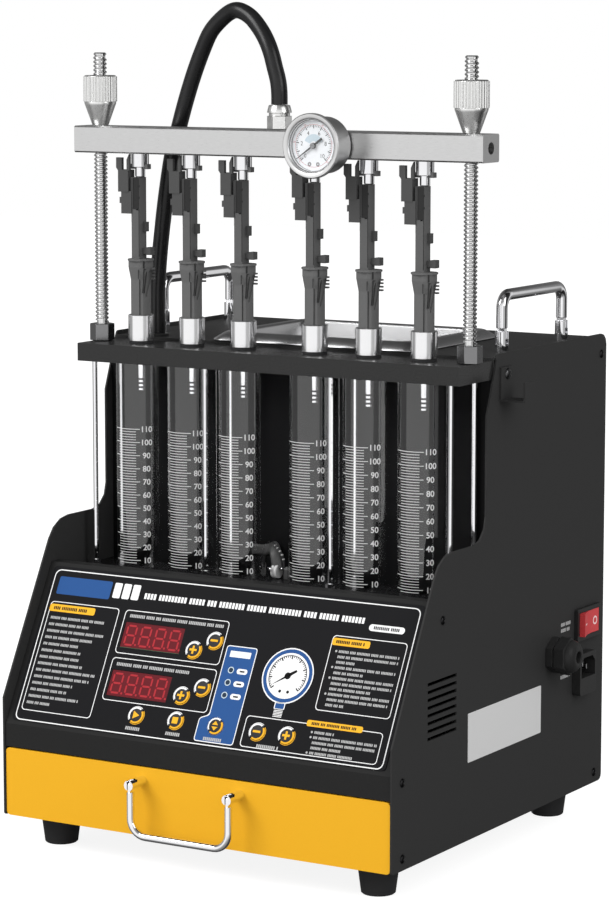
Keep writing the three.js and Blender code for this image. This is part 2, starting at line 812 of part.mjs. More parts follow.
// Folding handles: a D of round rod with a flat tongue and pin hole at each end
const handleTopZ = handleTop - handlePivotRise - handleRod;
const dRod = bentRod(bentPath([
  [0, 0, handleShoulder], [0, 0, handleTopZ], [0, handleSpacing, handleTopZ], [0, handleSpacing, handleShoulder],
], handleBend), handleRod);
const tongueOutline = rounded([
  [-handleTongueHalf, -handleTongueHalf, handleTongueHalf - weld],
  [handleTongueHalf, -handleTongueHalf, handleTongueHalf - weld],
  [handleTongueHalf, handleShoulder + weld, 0],
  [-handleTongueHalf, handleShoulder + weld, 0],
]);
const tongue = plate(tongueOutline, handleTongue, [circle(0, 0, handlePin + gap, pinSides)])
  .rotateX(Math.PI / 2).translate(0, handleTongue / 2, 0);
const handle = join(dRod, tongue, at(tongue, 0, handleSpacing, 0));
for (const [sideName, sign] of [['left', -1], ['right', 1]]) {
  piece(`handle_${sideName}`, handle, chrome, sign * handleX, handleFrontY, deckTop + handlePivotRise);
}

// Ultrasonic tank with its bevelled rim
const rimLow = deckTop + gap;
const rimTop = rimLow + bathRimHeight;
const rimTopWidth = bathFlangeWidth - 2 * bathBevel;
const rimTopDepth = bathFlangeDepth - 2 * bathBevel;
const rim = loft([
  ringOf(rectangle(bathX, bathY, bathFlangeWidth, bathFlangeDepth, bathFlangeRound), rimLow),
  ringOf(rectangle(bathX, bathY, bathFlangeWidth, bathFlangeDepth, bathFlangeRound), rimLow + sheet),
  ringOf(rectangle(bathX, bathY, rimTopWidth, rimTopDepth, bathFlangeRound), rimTop),
]);
const basin = plate(rectangle(bathX, bathY, bathWidth + 2 * bathWall, bathDepth + 2 * bathWall, bathRound + bathWall),
  bathHeight + bathWall).translate(0, 0, rimTop - bathHeight - bathWall);
const water = plate(rectangle(bathX, bathY, bathWidth, bathDepth, bathRound), bathHeight + overrun)
  .translate(0, 0, rimTop - bathHeight);
piece('ultrasonic_tank', cut(join(rim, basin), water), steel);
const transducerTop = rimTop - bathHeight - bathWall - gap;
piece('ultrasonic_transducer', turned([
  [0, 0],
  [transducerBoltRadius, 0],
  [transducerBoltRadius, transducerBoltHeight],
  [transducerStackRadius, transducerBoltHeight],
  [transducerStackRadius, transducerBoltHeight + transducerStackHeight],
  [transducerRadius, transducerBoltHeight + transducerStackHeight],
  [transducerRadius, transducerBoltHeight + transducerStackHeight + transducerFootHeight],
  [0, transducerBoltHeight + transducerStackHeight + transducerFootHeight],
], boltSides), aluminium, bathX, bathY,
transducerTop - transducerBoltHeight - transducerStackHeight - transducerFootHeight);

// Drawer front: a pan with its posts for the bail, and the drawer box behind
const drawerHalf = innerHalf - drawerSideGap;
const panOuter = rectangle(0, drawerHeight / 2, 2 * drawerHalf, drawerHeight, drawerPanRound);
const panInner = rectangle(0, drawerHeight / 2, 2 * (drawerHalf - sheet), drawerHeight - 2 * sheet, drawerPanRound - sheet);
const pan = cut(plate(panOuter, drawerPanDepth).translate(0, 0, -drawerPanDepth),
  plate(panInner, drawerPanDepth).translate(0, 0, -drawerPanDepth - sheet)).rotateX(Math.PI / 2);
const bailPostLength = bailPlane + bailPostPast;
const bailPost = join(
  cut(
    towardFront(cylinder(bailPostRadius, bailPostLength + weld, boltSides).translate(0, 0, -weld)),
    block(-bailSlot / 2, bailSlot / 2, -bailPostLength - overrun, -bailPlane + bailTongueHalf + 2 * gap,
      -bailPostRadius - overrun, bailPostRadius + overrun),
  ),
  towardRight(cylinder(bailPin, 2 * bailPostRadius - 2 * weld, pinSides))
    .translate(weld - bailPostRadius, -bailPlane, 0),
);
const drawerFront = join(pan, at(bailPost, -bailHalfWidth, 0, bailPivotRise), at(bailPost, bailHalfWidth, 0, bailPivotRise));
piece('drawer_front', drawerFront, yellowPaint, 0, drawerFrontY, drawerBottom);

const drawerBoxBottom = trayTop + runnerHeight + gap;
const drawerInnerBottom = drawerBoxBottom + drawerBoxWall;
const drawerBox = cut(
  block(-drawerBoxHalf, drawerBoxHalf, drawerBoxFrontY, drawerBoxFrontY + drawerBoxLength,
    drawerBoxBottom, drawerBoxBottom + drawerBoxHeight),
  block(drawerBoxWall - drawerBoxHalf, drawerBoxHalf - drawerBoxWall, drawerBoxFrontY + drawerBoxWall,
    drawerBoxFrontY + drawerBoxLength - drawerBoxWall, drawerInnerBottom, drawerBoxBottom + drawerBoxHeight + overrun),
);
piece('drawer_box', drawerBox, steel);

const bailRod = bentRod(bentPath([
  [-bailHalfWidth, 0, -bailShoulder], [-bailHalfWidth, 0, -bailDrop],
  [bailHalfWidth, 0, -bailDrop], [bailHalfWidth, 0, -bailShoulder],
], bailBend), bailRodRadius);
const bailTongueOutline = rounded([
  [-bailTongueHalf, bailTongueHalf, bailTongueHalf - weld],
  [bailTongueHalf, bailTongueHalf, bailTongueHalf - weld],
  [bailTongueHalf, -bailShoulder - weld, 0],
  [-bailTongueHalf, -bailShoulder - weld, 0],
]);
const bailTongueForm = sidePlate(bailTongueOutline, -bailTongue / 2, bailTongue, [circle(0, 0, bailPin + gap, pinSides)]);
piece('drawer_handle', join(bailRod, at(bailTongueForm, -bailHalfWidth, 0, 0), at(bailTongueForm, bailHalfWidth, 0, 0)),
  chrome, 0, drawerFrontY - bailPlane, drawerBottom + bailPivotRise);

// Console: bent sheet, and a frame on its slanted face whose X runs across, Y up the slope and Z outward
const slope = Math.atan(consoleLean);
const upSlope = new THREE.Vector3(0, Math.sin(slope), Math.cos(slope));
const outOfSlope = new THREE.Vector3(0, -Math.cos(slope), Math.sin(slope));
const onSlope = new THREE.Matrix4().makeBasis(X, upSlope, outOfSlope).setPosition(0, consoleFrontY, creaseZ);
const consolePath = [
  [consoleFrontY + lipReturn, lipBottom],
  [consoleFrontY, lipBottom],
  [consoleFrontY, creaseZ],
  [slantTopY, slantTopZ],
  [ledgeBackY, slantTopZ],
  [ledgeBackY, slantTopZ - ledgeDrop],
];
const keyHoleRadius = keyRadius + gap;
const windowCut = (level) => block(windowX - windowWidth / 2, windowX + windowWidth / 2,
  level - windowHeight / 2, level + windowHeight / 2, -sheet - overrun, overrun);
const keyCut = ([, x, level]) => at(cylinder(keyHoleRadius, sheet + 2 * overrun, keySides), x, level, -sheet - overrun);
const consoleCuts = [...windowLevels.map(windowCut), ...keyPlaces.map(keyCut)];
piece('console_shell', cut(sidePlate(bentSheet(consolePath, sheet), -fitHalf, 2 * fitHalf),
  ...consoleCuts.map((tool) => tool.applyMatrix4(onSlope))), blackPaint);

const overlayHoles = [
  ...windowLevels.map((level) => rectangle(windowX, level, windowWidth, windowHeight)),
  ...keyPlaces.map(([, x, level]) => circle(x, level, keyHoleRadius, keySides)),
];
const overlayOutline = rectangle(0, (overlayLow + overlayHigh) / 2, 2 * overlayHalf, overlayHigh - overlayLow, overlayRound);
const overlay = plate(overlayOutline, overlayThickness, overlayHoles).translate(0, 0, gap);
piece('control_overlay', overlay.applyMatrix4(onSlope), film);

const keyTop = gap + overlayThickness + keyProud;
const keyCap = turned([
  [0, -sheet - gap - keyFlangeThickness],
  [keyRadius + keyFlange, -sheet - gap - keyFlangeThickness],
  [keyRadius + keyFlange, -sheet - gap],
  [keyRadius, -sheet - gap],
  [keyRadius, keyTop],
  [0, keyTop + keyDome],
], keySides);
for (const [name, x, level] of keyPlaces) {
  piece(name, at(keyCap, x, level, 0).applyMatrix4(onSlope), keyPlastic);
}

const switchTop = -sheet - gap - keyFlangeThickness - keyTravel - gap;
const board = join(
  block(boardLeft, boardRight, boardLow, boardHigh, -boardDepth - boardThickness, -boardDepth),
  ...windowLevels.map((level) => block(windowX - windowWidth / 2 + gap, windowX + windowWidth / 2 - gap,
    level - windowHeight / 2 + gap, level + windowHeight / 2 - gap, -boardDepth - weld,
    gap + overlayThickness - displayRecess)),
  ...keyPlaces.map(([, x, level]) =>
    at(cylinder(switchRadius, boardDepth + weld + switchTop, pinSides), x, level, -boardDepth - weld)),
  ...[boardLeft + boardPostInset, boardRight - boardPostInset].flatMap((x) =>
    [boardLow + boardPostInset, boardHigh - boardPostInset].map((level) =>
      at(cylinder(boardPostRadius, boardDepth + weld - sheet - gap, pinSides), x, level, -boardDepth - weld))),
);
piece('display_board', board.applyMatrix4(onSlope), boardGreen);

// Tube plate with the thin props that carry the bench plate
const tubePlateFrontY = ledgeBackY + gap;
const tubePlateRearY = wallFrontY - gap;
const drainHoles = columnXs.map((x) => circle(x, columnY, tubeDrain, pinSides));
const tubePlate = plate(rectangle(0, (tubePlateFrontY + tubePlateRearY) / 2, 2 * fitHalf, tubePlateRearY - tubePlateFrontY),
  tubePlateThickness, drainHoles).translate(0, 0, tubePlateTop - tubePlateThickness);
const prop = turned([
  [0, -weld],
  [propCollarRadius, -weld],
  [propCollarRadius, propCollarHeight],
  [propRadius, propCollarHeight],
  [propRadius, benchBottom - gap - tubePlateTop],
  [0, benchBottom - gap - tubePlateTop],
], pinSides);
const props = propXs.flatMap((x) => [propFrontY, propRearY - gap].map((y) => at(prop, x, y, tubePlateTop)));
piece('tube_seat', join(tubePlate, ...props.map((form) => cut(form,
  block(-fitHalf, fitHalf, wallFrontY - gap, wallFrontY + overrun, 0, benchTop)))), glossBlack);

// Measuring tubes
const tubeHeight = benchBottom - tubePlateTop - 2 * gap;
const tube = turned([
  [tubeDrain, 0],
  [tubeRadius - tubeLip, 0],
  [tubeRadius, tubeLip],
  [tubeRadius, tubeHeight],
  [tubeBore, tubeHeight],
  [tubeBore, tubeFloor],
  [tubeDrain, tubeFloor],
  [tubeDrain, 0],
], tubeSides);
columnXs.forEach((x, i) => piece(`tube_${i + 1}`, tube, clearPlastic, x, columnY, tubePlateTop + gap));

// Bench plate with its six cups
const cupBore = cupRadius - cupWall;
const cupLevels = cupBase + cupHeight;
const cup = turned([
  [0, -weld],
  [cupBaseRadius, -weld],
  [cupBaseRadius, cupBase],
  [cupRadius, cupBase],
  [cupRadius, cupLevels],
  [0, cupLevels],
], boltSides);
const cupHollow = turned([
  [0, -benchThickness - overrun],
  [cupDrip, -benchThickness - overrun],
  [cupDrip, cupLevels - cupSeatDepth],
  [cupBore, cupLevels - cupSeatDepth],
  [cupBore, cupLevels + overrun],
  [0, cupLevels + overrun],
], boltSides);
const benchSlab = block(-benchHalf, benchHalf, benchFrontY, benchRearY, benchBottom, benchTop);
const overColumns = (form) => columnXs.map((x) => at(form, x, columnY, benchTop));
piece('bench_plate', cut(join(benchSlab, ...overColumns(cup)), ...overColumns(cupHollow)), blackPaint);

// Injectors: holder in the cup, body, side connector with its prongs, arm, lug and strap
const holderRing = (size, radius, z) => ringOf(rectangle(0, 0, size, size, radius, 2), z);
const holder = join(
  cylinder(holderBaseRadius, holderBaseHeight + weld, boltSides),
  loft([
    holderRing(holderSize, holderRound, holderBaseHeight),
    holderRing(holderSize, holderRound, holderNarrowHeight),
    holderRing(holderWideSize, holderWideRound, holderWideHeight),
    holderRing(holderWideSize, holderWideRound, holderFlangeHeight + weld),
  ]),
  at(cylinder(holderFlangeRadius, holderHeight - holderFlangeHeight, boltSides), 0, 0, holderFlangeHeight),
);
const holderHalf = holderSize / 2;
const holderWindow = sidePlate([
  [-holderHalf / 2, holderNarrowHeight + ratchetPitch],
  [0, holderWideHeight - ratchetPitch],
  [holderHalf - ratchetProud, holderWideHeight - ratchetPitch],
  [holderHalf / 2, holderNarrowHeight - ratchetProud],
  [-holderHalf / 3, holderNarrowHeight - holderBaseHeight - 2 * ratchetPitch],
  [-holderHalf / 2, holderNarrowHeight - holderBaseHeight - 2 * ratchetPitch],
].map((corner) => new THREE.Vector2(...corner)), holderHalf - windowCutDepth, holderWideSize);
const ratchet = Array.from({ length: ratchetTeeth }, (_, tooth) => {
  const low = holderNarrowHeight + tooth * ratchetPitch;
  return block(0, holderWideSize / 2 + ratchetProud, holderHalf - ratchetWidth, holderHalf - weld, low, low + ratchetTooth);
});
const bodyRight = bodyLeft + bodyWidth;
const bodyHalfDepth = bodyDepth / 2;
const body = cut(
  block(bodyLeft, bodyRight, -bodyHalfDepth, bodyHalfDepth, holderHeight - weld, bodyTop),
  block(bodyRight - grooveInset - grooveWidth, bodyRight - grooveInset, -bodyHalfDepth - overrun,
    grooveDepth - bodyHalfDepth, grooveBottom, bodyTop + overrun),
);
const plugRight = plugLeft + plugWidth;
const prongOutline = [
  [plugLeft, plugTop - weld],
  [plugLeft - prongFlare, plugTop + prongFlare],
  [plugLeft - prongFlare, prongTop],
  [plugLeft - prongFlare + prongWidth, prongTop],
  [plugLeft - prongFlare + prongWidth, plugTop - weld],
];
const latchOutline = [
  [plugRight - latchWidth / 2, plugTop - weld],
  [plugRight - latchWidth / 2, latchTop - latchChamfer],
  [plugRight + latchWidth / 2 - gap, latchTop],
  [plugRight + latchWidth / 2, latchTop],
  [plugRight + latchWidth / 2, plugTop - weld],
];
const facingFront = (corners, frontY, depth) => plate(corners.map((corner) => new THREE.Vector2(...corner)), depth)
  .rotateX(Math.PI / 2).translate(0, frontY + depth, 0);
const plugRearY = plugFrontY + plugDepth;
const injector = join(
  cut(join(holder, ...ratchet), holderWindow),
  body,
  block(plugLeft, plugRight, plugFrontY, plugRearY, plugBottom, plugTop),
  facingFront(prongOutline, plugFrontY, prongDepth),
  facingFront(latchOutline, plugFrontY, latchDepth),
  block(armLeft, bodyLeft + weld, armFrontY, armFrontY + armDepth, armBottom, plugBottom + weld),
  block(armLeft - armNotch, armLeft + weld, armFrontY, armFrontY + armDepth,
    (armBottom + plugBottom) / 2 - weld, (armBottom + plugBottom) / 2 + armNotchHeight - weld),
  block(bodyRight - weld, bodyRight + lugReach, bodyHalfDepth - armNotchHeight, bodyHalfDepth, lugBottom, lugBottom + lugHeight),
  block(bodyRight - weld, bodyRight + strapReach, bodyHalfDepth - strapDepth, bodyHalfDepth,
    strapBottom, strapBottom + strapHeight),
  block(bodyRight + strapReach - strapLug, bodyRight + strapReach, bodyHalfDepth - strapDepth, bodyHalfDepth,
    strapBottom - (strapLugHeight - strapHeight) / 2, strapBottom + (strapLugHeight + strapHeight) / 2),
);
columnXs.forEach((x, i) => piece(`injector_${i + 1}`, injector, injectorPlastic, x, columnY, seatZ));

// Fuel rail with its adapters, clips and end port
const railOutline = rectangle(railFrontY + railDepth / 2, railBottom + railHeight / 2, railDepth, railHeight, railChamfer, 1);
const adapter = turned([
  [0, -adapterLength - neckLength],
  [neckRadius, -adapterLength - neckLength],
  [neckRadius, -adapterLength],
  [adapterRadius, -adapterLength],
  [adapterRadius, weld],
  [0, weld],
], boltSides);
const clip = block(-clipLeft, clipRight, -clipHalfDepth, clipHalfDepth, -clipDrop - clipHeight, -clipDrop);
const underRail = join(adapter, clip);
const rodClearance = rodRadius + gap;
const rodHole = cylinder(rodClearance, railHeight + 2 * overrun, boltSides).translate(0, rodY, railBottom - overrun);
const railPort = towardRight(cylinder(railPortRadius, railPortDepth, boltSides))
  .translate(railHalf - railPortDepth + overrun, railFrontY + railDepth / 2, railBottom + railHeight / 2);
const railPortSafe = cut(railPort, block(0, rodX + rodClearance + overrun / 2, 0, cabinetDepth, 0, railTop));
piece('rail', cut(
  join(sidePlate(railOutline, -railHalf, 2 * railHalf), ...columnXs.map((x) => at(underRail, x, columnY, railBottom))),
  at(rodHole, -rodX, 0, 0), at(rodHole, rodX, 0, 0), railPortSafe,
), aluminium);

// Threaded rods in their hex couplings, and the knurled nuts
const rodLength = rodTop - benchTop - gap;
const rod = turned([
  [0, 0],
  [rodRadius, 0],
  [rodRadius, rodLength - rodChamfer],
  [rodRadius - rodChamfer, rodLength],
  [0, rodLength],
], boltSides);
const standRod = join(rod, prism(couplingAcrossFlats, couplingHeight).rotateZ(Math.PI / 6));
const nutOutline = Array.from({ length: 2 * nutTeeth }, (_, k) => {
  const radius = nutRadius - (k % 2) * nutToothDepth;
  const angle = (Math.PI * k) / nutTeeth;
  return new THREE.Vector2(radius * Math.cos(angle), radius * Math.sin(angle));
});
const nutHeight = nutConeHeight + nutKnurlHeight;
const nut = cut(
  join(
    plate(nutOutline, nutKnurlHeight).translate(0, 0, nutConeHeight),
    turned([[0, 0], [nutFootRadius, 0], [nutRadius - nutToothDepth, nutConeHeight], [0, nutConeHeight]]),
  ),
  at(cylinder(rodClearance, nutHeight + 2 * overrun, boltSides), 0, 0, -overrun),
);
for (const [sideName, sign] of [['left', -1], ['right', 1]]) {
  piece(`stand_rod_${sideName}`, standRod, darkMetal, sign * rodX, rodY, benchTop + gap);
  piece(`knurled_nut_${sideName}`, nut, aluminium, sign * rodX, rodY, railTop + gap);
}

// Pressure gauge on the front of the rail
const gaugeZ = railBottom + gaugeRise;
const gaugeWindow = gaugeRadius - gaugeRimWidth;
const dialLevel = gaugeDepth - gaugeDialDepth;
const lensSeat = gaugeDepth - gaugeLensRecess - gaugeLensThickness - gap;
const gaugeCase = towardFront(turned([
  [0, -gaugeStem],
  [gaugeStemRadius, -gaugeStem],
  [gaugeStemRadius, 0],
  [gaugeCaseRadius, 0],
  [gaugeCaseRadius, gaugeDepth - gaugeBezelDepth],
  [gaugeRadius, gaugeDepth - gaugeBezelDepth],
  [gaugeRadius, gaugeDepth],
  [gaugeWindow, gaugeDepth],
  [gaugeWindow, lensSeat],
  [gaugeDialRadius, lensSeat],
  [gaugeDialRadius, dialLevel],
  [0, dialLevel],
], roundSides + pinSides / 2));
const gaugeRearY = railFrontY - gaugeStem - gap;
piece('gauge_case', gaugeCase, chrome, gaugeX, gaugeRearY, gaugeZ);
piece('gauge_lens', towardFront(cylinder(gaugeLensRadius, gaugeLensThickness, roundSides + pinSides / 2)
  .translate(0, 0, lensSeat + gap)), glass, gaugeX, gaugeRearY, gaugeZ);
const needleLevel = dialLevel + (lensSeat - dialLevel) / 2;
const pointer = plate([
  [-needleTail, -needleWidth], [needleLength, -needleWidth / 4], [needleLength, needleWidth / 4],
  [-needleTail, needleWidth],
].map((corner) => new THREE.Vector2(...corner)), needleThickness);
const needle = join(pointer, cylinder(needleHub, needleLevel - dialLevel - gap + needleThickness, boltSides)
  .translate(0, 0, gap + dialLevel - needleLevel));
piece('gauge_needle', towardFront(needle.rotateZ(radians(needleRest)).translate(0, 0, needleLevel)), red,
  gaugeX, gaugeRearY, gaugeZ);

// Hose fitting on the rail, and the fuel hose over to the deck
const fittingHeight = fittingHexHeight + fittingRingHeight + ferruleHeight;
piece('hose_fitting', join(
  plate(circle(0, 0, fittingHexAcross / 2, 6), fittingHexHeight).rotateZ(Math.PI / 6),
  turned([
    [0, fittingHexHeight - weld],
    [fittingRingRadius, fittingHexHeight - weld],
    [fittingRingRadius, fittingHexHeight + fittingRingHeight],
    [ferruleLowRadius, fittingHexHeight + fittingRingHeight],
    [ferruleTopRadius, fittingHeight],
    [0, fittingHeight],
  ], boltSides),
), steel, 0, rodY, railTop + gap);
const hoseSection = new THREE.Shape(circle(0, 0, hoseRadius, hoseSides));
const hoseCurve = new THREE.CatmullRomCurve3(hoseRoute.map((point) => new THREE.Vector3(...point)), false, 'centripetal');
const hose = piece('hose', new THREE.ExtrudeGeometry(hoseSection, { steps: hoseSteps, extrudePath: hoseCurve }), rubber);

// Drain pipe: a union on the tube plate and a short bent pipe into the wall
const drainEndY = wallFrontY - gap;
const drainLength = bentRod(bentPath([
  [drainX, drainY, tubePlateTop + drainUnionHeight],
  [drainX, drainY, tubePlateTop + drainTop],
  [drainX - 2 * drainReach, 2 * drainEndY - drainY, tubePlateTop + drainTop],
], 2 * drainPipeRadius), drainPipeRadius);
const drainPipe = cut(drainLength, block(-innerHalf, innerHalf, drainEndY, cabinetDepth, 0, benchTop));
const drainUnion = turned([
  [0, 0],
  [drainFlangeRadius, 0],
  [drainFlangeRadius, drainFlangeHeight],
  [drainUnionRadius, drainFlangeHeight],
  [drainUnionRadius, drainUnionHeight + weld],
  [0, drainUnionHeight + weld],
], boltSides).translate(drainX, drainY, tubePlateTop + gap);
piece('drain_pipe', join(drainPipe, drainUnion), rubber);

// Rocker switch: bezel with its closed body, and the rocker tilted to one side
const outerFace = panelHalf + gap;
const rockerOpeningWidth = bezelBodyWidth - 2 * bezelWall / 2;
const rockerOpeningHeight = bezelBodyHeight - 2 * bezelWall / 2;
const bezelForm = join(
  sidePlate(rectangle(bezelCentreY, bezelCentreZ, bezelWidth, bezelHeight, bezelWall / 2), outerFace, bezelProud),
  sidePlate(rectangle(bezelCentreY, bezelCentreZ, bezelBodyWidth, bezelBodyHeight), outerFace - bezelBodyDepth,
    bezelBodyDepth + weld),
);
const rockerPocket = sidePlate(rectangle(bezelCentreY, bezelCentreZ, rockerOpeningWidth, rockerOpeningHeight),
  outerFace - bezelBodyDepth + bezelWall, bezelBodyDepth + bezelProud + overrun);
piece('switch_bezel', cut(bezelForm, rockerPocket), blackPlastic);
const rockerHalf = rockerOpeningWidth / 2 - 3 * gap;
const rockerOutline = [
  [-rockerHalf, -rockerSkirt], [0, -2 * rockerSkirt], [rockerHalf, -rockerSkirt],
  [rockerHalf, rockerProud], [rockerSkirt, rockerProud / 2], [-rockerSkirt, rockerProud / 2], [-rockerHalf, rockerProud],
].map((corner) => new THREE.Vector2(...corner));
const rocker = plate(rockerOutline, rockerOpeningHeight - 2 * gap)
  .applyMatrix4(new THREE.Matrix4().makeBasis(Y, X, Z.clone().negate()))
  .translate(0, 0, rockerOpeningHeight / 2 - gap).rotateZ(radians(rockerTilt));
piece('rocker_switch', rocker, red, outerFace + bezelProud - rockerPivotDepth, bezelCentreY, bezelCentreZ);

// Mains inlet: raised block with a plug mouth, three pins, and the fuse drawer's front below
const inletBack = outerFace - inletBodyDepth;
const inletFront = outerFace + inletProud;
const mouthZ = inletCentreZ + inletMouthRise;
const mouthHalf = inletMouthHeight / 2;
const mouthOutline = rounded([
  [inletCentreY - inletMouthWidth / 2, mouthZ - mouthHalf, 0],
  [inletCentreY + inletMouthWidth / 2, mouthZ - mouthHalf, 0],
  [inletCentreY + inletMouthWidth / 2, mouthZ + mouthHalf - inletMouthChamfer, 0],
  [inletCentreY + inletMouthWidth / 2 - inletMouthChamfer, mouthZ + mouthHalf, 0],
  [inletCentreY - inletMouthWidth / 2 + inletMouthChamfer, mouthZ + mouthHalf, 0],
  [inletCentreY - inletMouthWidth / 2, mouthZ + mouthHalf - inletMouthChamfer, 0],
]);
const inletPins = [-1, 0, 1].map((side) => {
  const y = inletCentreY + side * inletPinSpacing;
  const z = mouthZ + (side ? -inletPinDrop / 2 : inletPinDrop / 2);
  return block(inletFront - inletMouthDepth - weld, inletFront - 2 * bezelWall, y - inletPinWidth / 2, y + inletPinWidth / 2,
    z - inletPinHeight / 2, z + inletPinHeight / 2);
});
piece('power_inlet', join(cut(
  join(
    sidePlate(rectangle(inletCentreY, inletCentreZ, inletWidth, inletHeight, inletRound), outerFace, inletProud),
    sidePlate(rectangle(inletCentreY, inletCentreZ, inletBodyWidth, inletBodyHeight), inletBack, inletBodyDepth + weld),
  ),
  sidePlate(mouthOutline, inletFront - inletMouthDepth, inletMouthDepth + overrun),
), ...inletPins), blackPlastic);

// Cable gland: hex, round cap with a domed end, and the stub through the panel
const glandTip = glandBodyLength + glandDomeLength;
const glandTurned = towardRight(turned([
  [glandBore / 2, -glandStubLength],
  [glandStubRadius, -glandStubLength],
  [glandStubRadius, weld],
  [glandBodyRadius, weld],
  [glandBodyRadius, glandBodyLength],
  [glandDomeRadius, glandTip],
  [glandBore / 2, glandTip],
  [glandBore / 2, -glandStubLength],
]));
const glandHex = cut(prism(glandAcrossFlats, glandHexLength),
  at(cylinder(glandBore, glandHexLength + 2 * overrun, boltSides), 0, 0, -overrun));
piece('cable_gland', join(glandTurned, towardRight(glandHex)), blackPlastic, outerFace, glandCentreY, glandCentreZ);

// Fuel tank, pump and power supply on the tray behind the drawer
const standZ = trayTop + gap;
const innerRearY = innerPieceFrontY + innerPieceDepth;
const fuelTankLeft = fuelTankInset - fitHalf;
const fuelTankWidth = pumpX - pumpRadius - pumpSideGap - fuelTankLeft;
const fuelTankX = fuelTankLeft + fuelTankWidth / 2;
const innerMiddleY = (innerPieceFrontY + innerRearY) / 2;
piece('fuel_tank', join(
  plate(rectangle(fuelTankX, innerMiddleY, fuelTankWidth, innerPieceDepth, fuelTankRound), fuelTankHeight),
  at(cylinder(fuelNeckRadius, fuelNeckHeight + weld, boltSides), fuelTankX, innerMiddleY, fuelTankHeight - weld),
), tankPlastic, 0, 0, standZ);
piece('fuel_pump', turned([
  [0, 0],
  [pumpRadius - pumpShoulder, 0],
  [pumpRadius, pumpShoulder],
  [pumpRadius, pumpHeight - pumpShoulder],
  [pumpRadius - pumpShoulder, pumpHeight],
  [pumpPortRadius, pumpHeight],
  [pumpPortRadius, pumpHeight + pumpPortHeight],
  [0, pumpHeight + pumpPortHeight],
], boltSides), steel, pumpX, innerMiddleY, standZ);
const supplyLeft = pumpX + pumpRadius + supplySideGap;
const supplyWidth = fitHalf - supplyInset - supplyLeft;
piece('power_supply', join(
  block(supplyLeft, supplyLeft + supplyWidth, innerPieceFrontY, innerRearY, 0, supplyHeight),
  block(supplyLeft + supplyTerminal, supplyLeft + supplyWidth - supplyTerminal, innerPieceFrontY - supplyTerminal / 2,
    innerPieceFrontY + weld, supplyTerminal / 2, 2 * supplyTerminal),
), steel, 0, 0, standZ);

// The origin is under the middle of the part, without the free hose
const box = new THREE.Box3();
assembly.children.filter((mesh) => mesh !== hose).forEach((mesh) => box.expandByObject(mesh));
const middle = box.getCenter(new THREE.Vector3());
assembly.position.set(-middle.x, -middle.y, 0);

export default part;
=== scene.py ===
# Looks for the fuel injector cleaner and tester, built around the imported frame.
# Sizes are in millimetres in the cabinet's own frame, X = 0 in its middle, Y = 0 at the front edge of the side
# panels and Z = 0 at the floor. place() turns them into the frame's metres.
import math
from types import SimpleNamespace

import bmesh
import bpy
from mathutils import Matrix, Vector


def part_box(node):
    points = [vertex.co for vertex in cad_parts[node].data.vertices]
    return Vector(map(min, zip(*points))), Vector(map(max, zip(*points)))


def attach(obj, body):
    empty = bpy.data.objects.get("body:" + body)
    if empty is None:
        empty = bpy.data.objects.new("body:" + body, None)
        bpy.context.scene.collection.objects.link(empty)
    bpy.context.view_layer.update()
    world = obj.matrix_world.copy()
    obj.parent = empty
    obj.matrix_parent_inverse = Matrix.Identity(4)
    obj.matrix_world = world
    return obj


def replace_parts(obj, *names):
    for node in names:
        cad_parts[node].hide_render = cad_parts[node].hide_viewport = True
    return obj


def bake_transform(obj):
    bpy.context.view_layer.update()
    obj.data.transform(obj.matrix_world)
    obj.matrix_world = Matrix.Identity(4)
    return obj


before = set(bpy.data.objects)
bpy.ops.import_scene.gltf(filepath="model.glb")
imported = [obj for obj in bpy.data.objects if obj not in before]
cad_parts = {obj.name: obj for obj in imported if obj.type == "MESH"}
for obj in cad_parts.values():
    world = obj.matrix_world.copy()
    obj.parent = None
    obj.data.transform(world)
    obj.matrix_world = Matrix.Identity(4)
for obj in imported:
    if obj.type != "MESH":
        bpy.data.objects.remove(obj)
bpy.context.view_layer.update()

MM = 0.001
panel_low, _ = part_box("side_panel_left")
console_low, console_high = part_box("console_shell")
ORIGIN = Vector(((console_low.x + console_high.x) / 2, panel_low.y, 0))

# Camera, as the photograph was taken
CAMERA_PLACE = (1268.0, -1931.6, 637.3)
CAMERA_TURN = 31.182
CAMERA_TILT = 7.82
CAMERA_LENS = 127.52

# Cabinet: half its width, the top of its deck, the console's crease and its slope
HALF = 171.9
DECK = 382.9
CREASE = (1.0, 96.5)
SLOPE = math.atan(0.538)

# Bench
COLUMNS = (-126.4, -78.9, -31.9, 31.9, 78.9, 126.4)
COLUMN_Y = 126.0
TUBE_RADIUS = 20.0
TUBE_BORE = 17.5
TUBE_FLOOR = 3.0
TIP_BOTTOM = 343.9
TUBE_PLATE = 204.5
BENCH_LOW = 367.0
BENCH_TOP = 381.0
CUP_TOP = 403.5
CUP_RADIUS = 10.1
CUP_BORE = 8.5
SEAT = 392.8
FIRST_MARK = 209.7
MARK_STEP = 2.072
MARKS = 52
RAIL_LOW = 528.8
ROD_X = 164.25
ROD_Y = 127.1
ROD_TOP = 606.2
ROD_RADIUS = 5.25
THREAD_PITCH = 3.15
THREAD_DEPTH = 1.15
NUT_BORE = 5.6
GAUGE_X = 50.0
GAUGE_Z = 539.5
GAUGE_REAR = 113.0
# The height at which the nuts and the hose fitting stand on the rail
ON_RAIL = 549.9

SIDES = ((-1, "left"), (1, "right"))


def place(x, y, z):
    """A point of the cabinet's frame in metres in the part's frame."""
    return ORIGIN + Vector((x, y, z)) * MM


def srgb(*levels):
    """Screen levels from 0 to 255 as the linear colour that a shader takes."""
    shares = [level / 255 for level in levels]
    return tuple(s / 12.92 if s <= 0.04045 else ((s + 0.055) / 1.055) ** 2.4 for s in shares)


# Camera and the fuel hose

